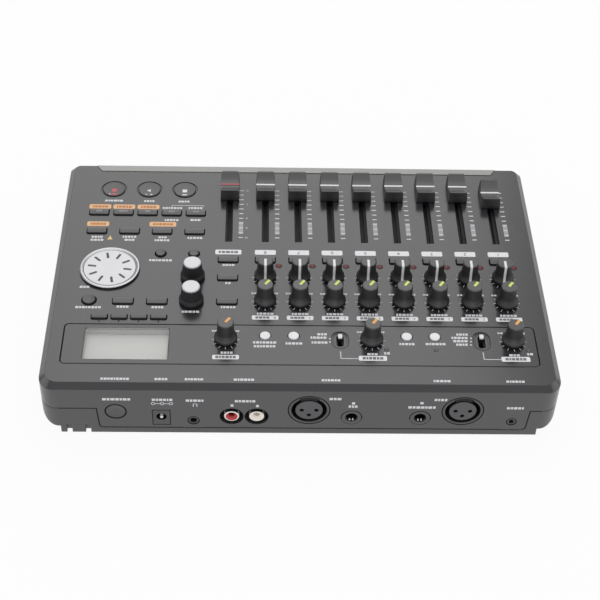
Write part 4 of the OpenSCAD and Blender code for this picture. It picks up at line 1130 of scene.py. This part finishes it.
# Pale walls between the window and the display
WALL = 0.25
RIM = 0.45
SEAT = 0.05
low, high = panel_box("display_window")
display_top = panel_box("lcd_module")[1].z
liner = begin("display_liner")
middle_x = (low.x + high.x) / 2
middle_y = (low.y + high.y) / 2
middle = (middle_x * MM, middle_y * MM, (low.z - SEAT) * MM)
bpy.ops.mesh.primitive_plane_add(size=MM, location=middle)
opening = (high.x - low.x - 2 * RIM, high.y - low.y - 2 * RIM, 1)
bpy.ops.transform.resize(value=opening, center_override=middle)
bpy.ops.mesh.delete(type="ONLY_FACE")
bpy.ops.mesh.select_all(action="SELECT")
drop = (0, 0, (display_top - low.z + 2 * SEAT) * MM)
bpy.ops.mesh.extrude_edges_move(TRANSFORM_OT_translate={"value": drop})
bpy.ops.mesh.select_all(action="SELECT")
bpy.ops.mesh.normals_make_consistent(inside=False)
bpy.ops.mesh.solidify(thickness=-WALL * MM)
close()
settle(liner, PANEL, liner_grey)

# Stage: a white floor that looks nearly as bright as the photograph's background, and still takes shadows
FLOOR_GLOW = 0.93
bpy.ops.object.select_all(action="DESELECT")
bpy.ops.mesh.primitive_plane_add(size=40)
floor = bpy.context.object
floor.name = "floor"
stage_paint = Paint("stage_white", tone(238, 238, 240), 0.9)
paths = stage_paint.tree.nodes.new("ShaderNodeLightPath")
seen = Value(stage_paint, paths.outputs["Is Camera Ray"])
seen = seen.most(Value(stage_paint, paths.outputs["Is Glossy Ray"]))
seen = seen.most(Value(stage_paint, paths.outputs["Is Transmission Ray"]))
glow = stage_paint.node("ShaderNodeEmission", {}, {"Color": (1, 1, 1, 1), "Strength": 1.0})
body_shader = Value(stage_paint, stage_paint.shader.outputs[0])
mixed = stage_paint.node("ShaderNodeMixShader", {}, {0: seen * FLOOR_GLOW, 1: body_shader, 2: glow})
stage_paint.put(stage_paint.tree.nodes["Material Output"].inputs["Surface"], mixed)
floor.data.materials.append(stage_paint.material)

# Light: a window on the far side, broad light overhead and from the near side, faint walls at both ends
AIM = Vector((0, 0, 0.03))
WORLD_LIGHT = 0.5
world = bpy.data.worlds.new("studio")
world.use_nodes = True
bpy.context.scene.world = world
background = world.node_tree.nodes["Background"]
background.inputs["Color"].default_value = (1, 1, 1, 1)
background.inputs["Strength"].default_value = WORLD_LIGHT


def lamp(name, place, width, height, power):
    """Soft light aimed at the recorder, with its sides in metres and its power in watts."""
    bpy.ops.object.light_add(type="AREA", location=place)
    made = bpy.context.object
    made.name = name
    made.data.shape = "RECTANGLE"
    made.data.size = width
    made.data.size_y = height
    made.data.energy = power
    made.rotation_euler = (AIM - Vector(place)).to_track_quat("-Z", "Y").to_euler()


lamp("far_window", (0.05, -1.25, 1.15), 0.95, 1.7, 6.0)
lamp("far_foot", (0.05, -1.5, 0.32), 1.2, 0.4, 1.2)
lamp("overhead", (0.0, 0.05, 1.7), 2.4, 2.2, 11.0)
lamp("near_fill", (0.0, 1.7, 0.42), 1.8, 1.1, 8.0)
lamp("left_wall", (-1.1, 0.1, 0.35), 0.7, 0.7, 1.2)
lamp("right_wall", (1.1, 0.1, 0.35), 0.7, 0.7, 1.2)

# Camera at the photograph's place, in metres, turned by degrees about x, y and z
CAMERA_PLACE = (0.025095, 0.625513, 0.637735)
CAMERA_TURN = (44.65979, -1.58881, 179.16405)
LENS = 86.73
bpy.ops.object.camera_add(location=CAMERA_PLACE)
camera = bpy.context.object
camera.rotation_euler = [math.radians(angle) for angle in CAMERA_TURN]
camera.data.sensor_width = 36.0
camera.data.lens = LENS
camera.data.clip_start = 0.01
bpy.context.scene.camera = camera
bpy.context.scene.view_settings.view_transform = "Standard"
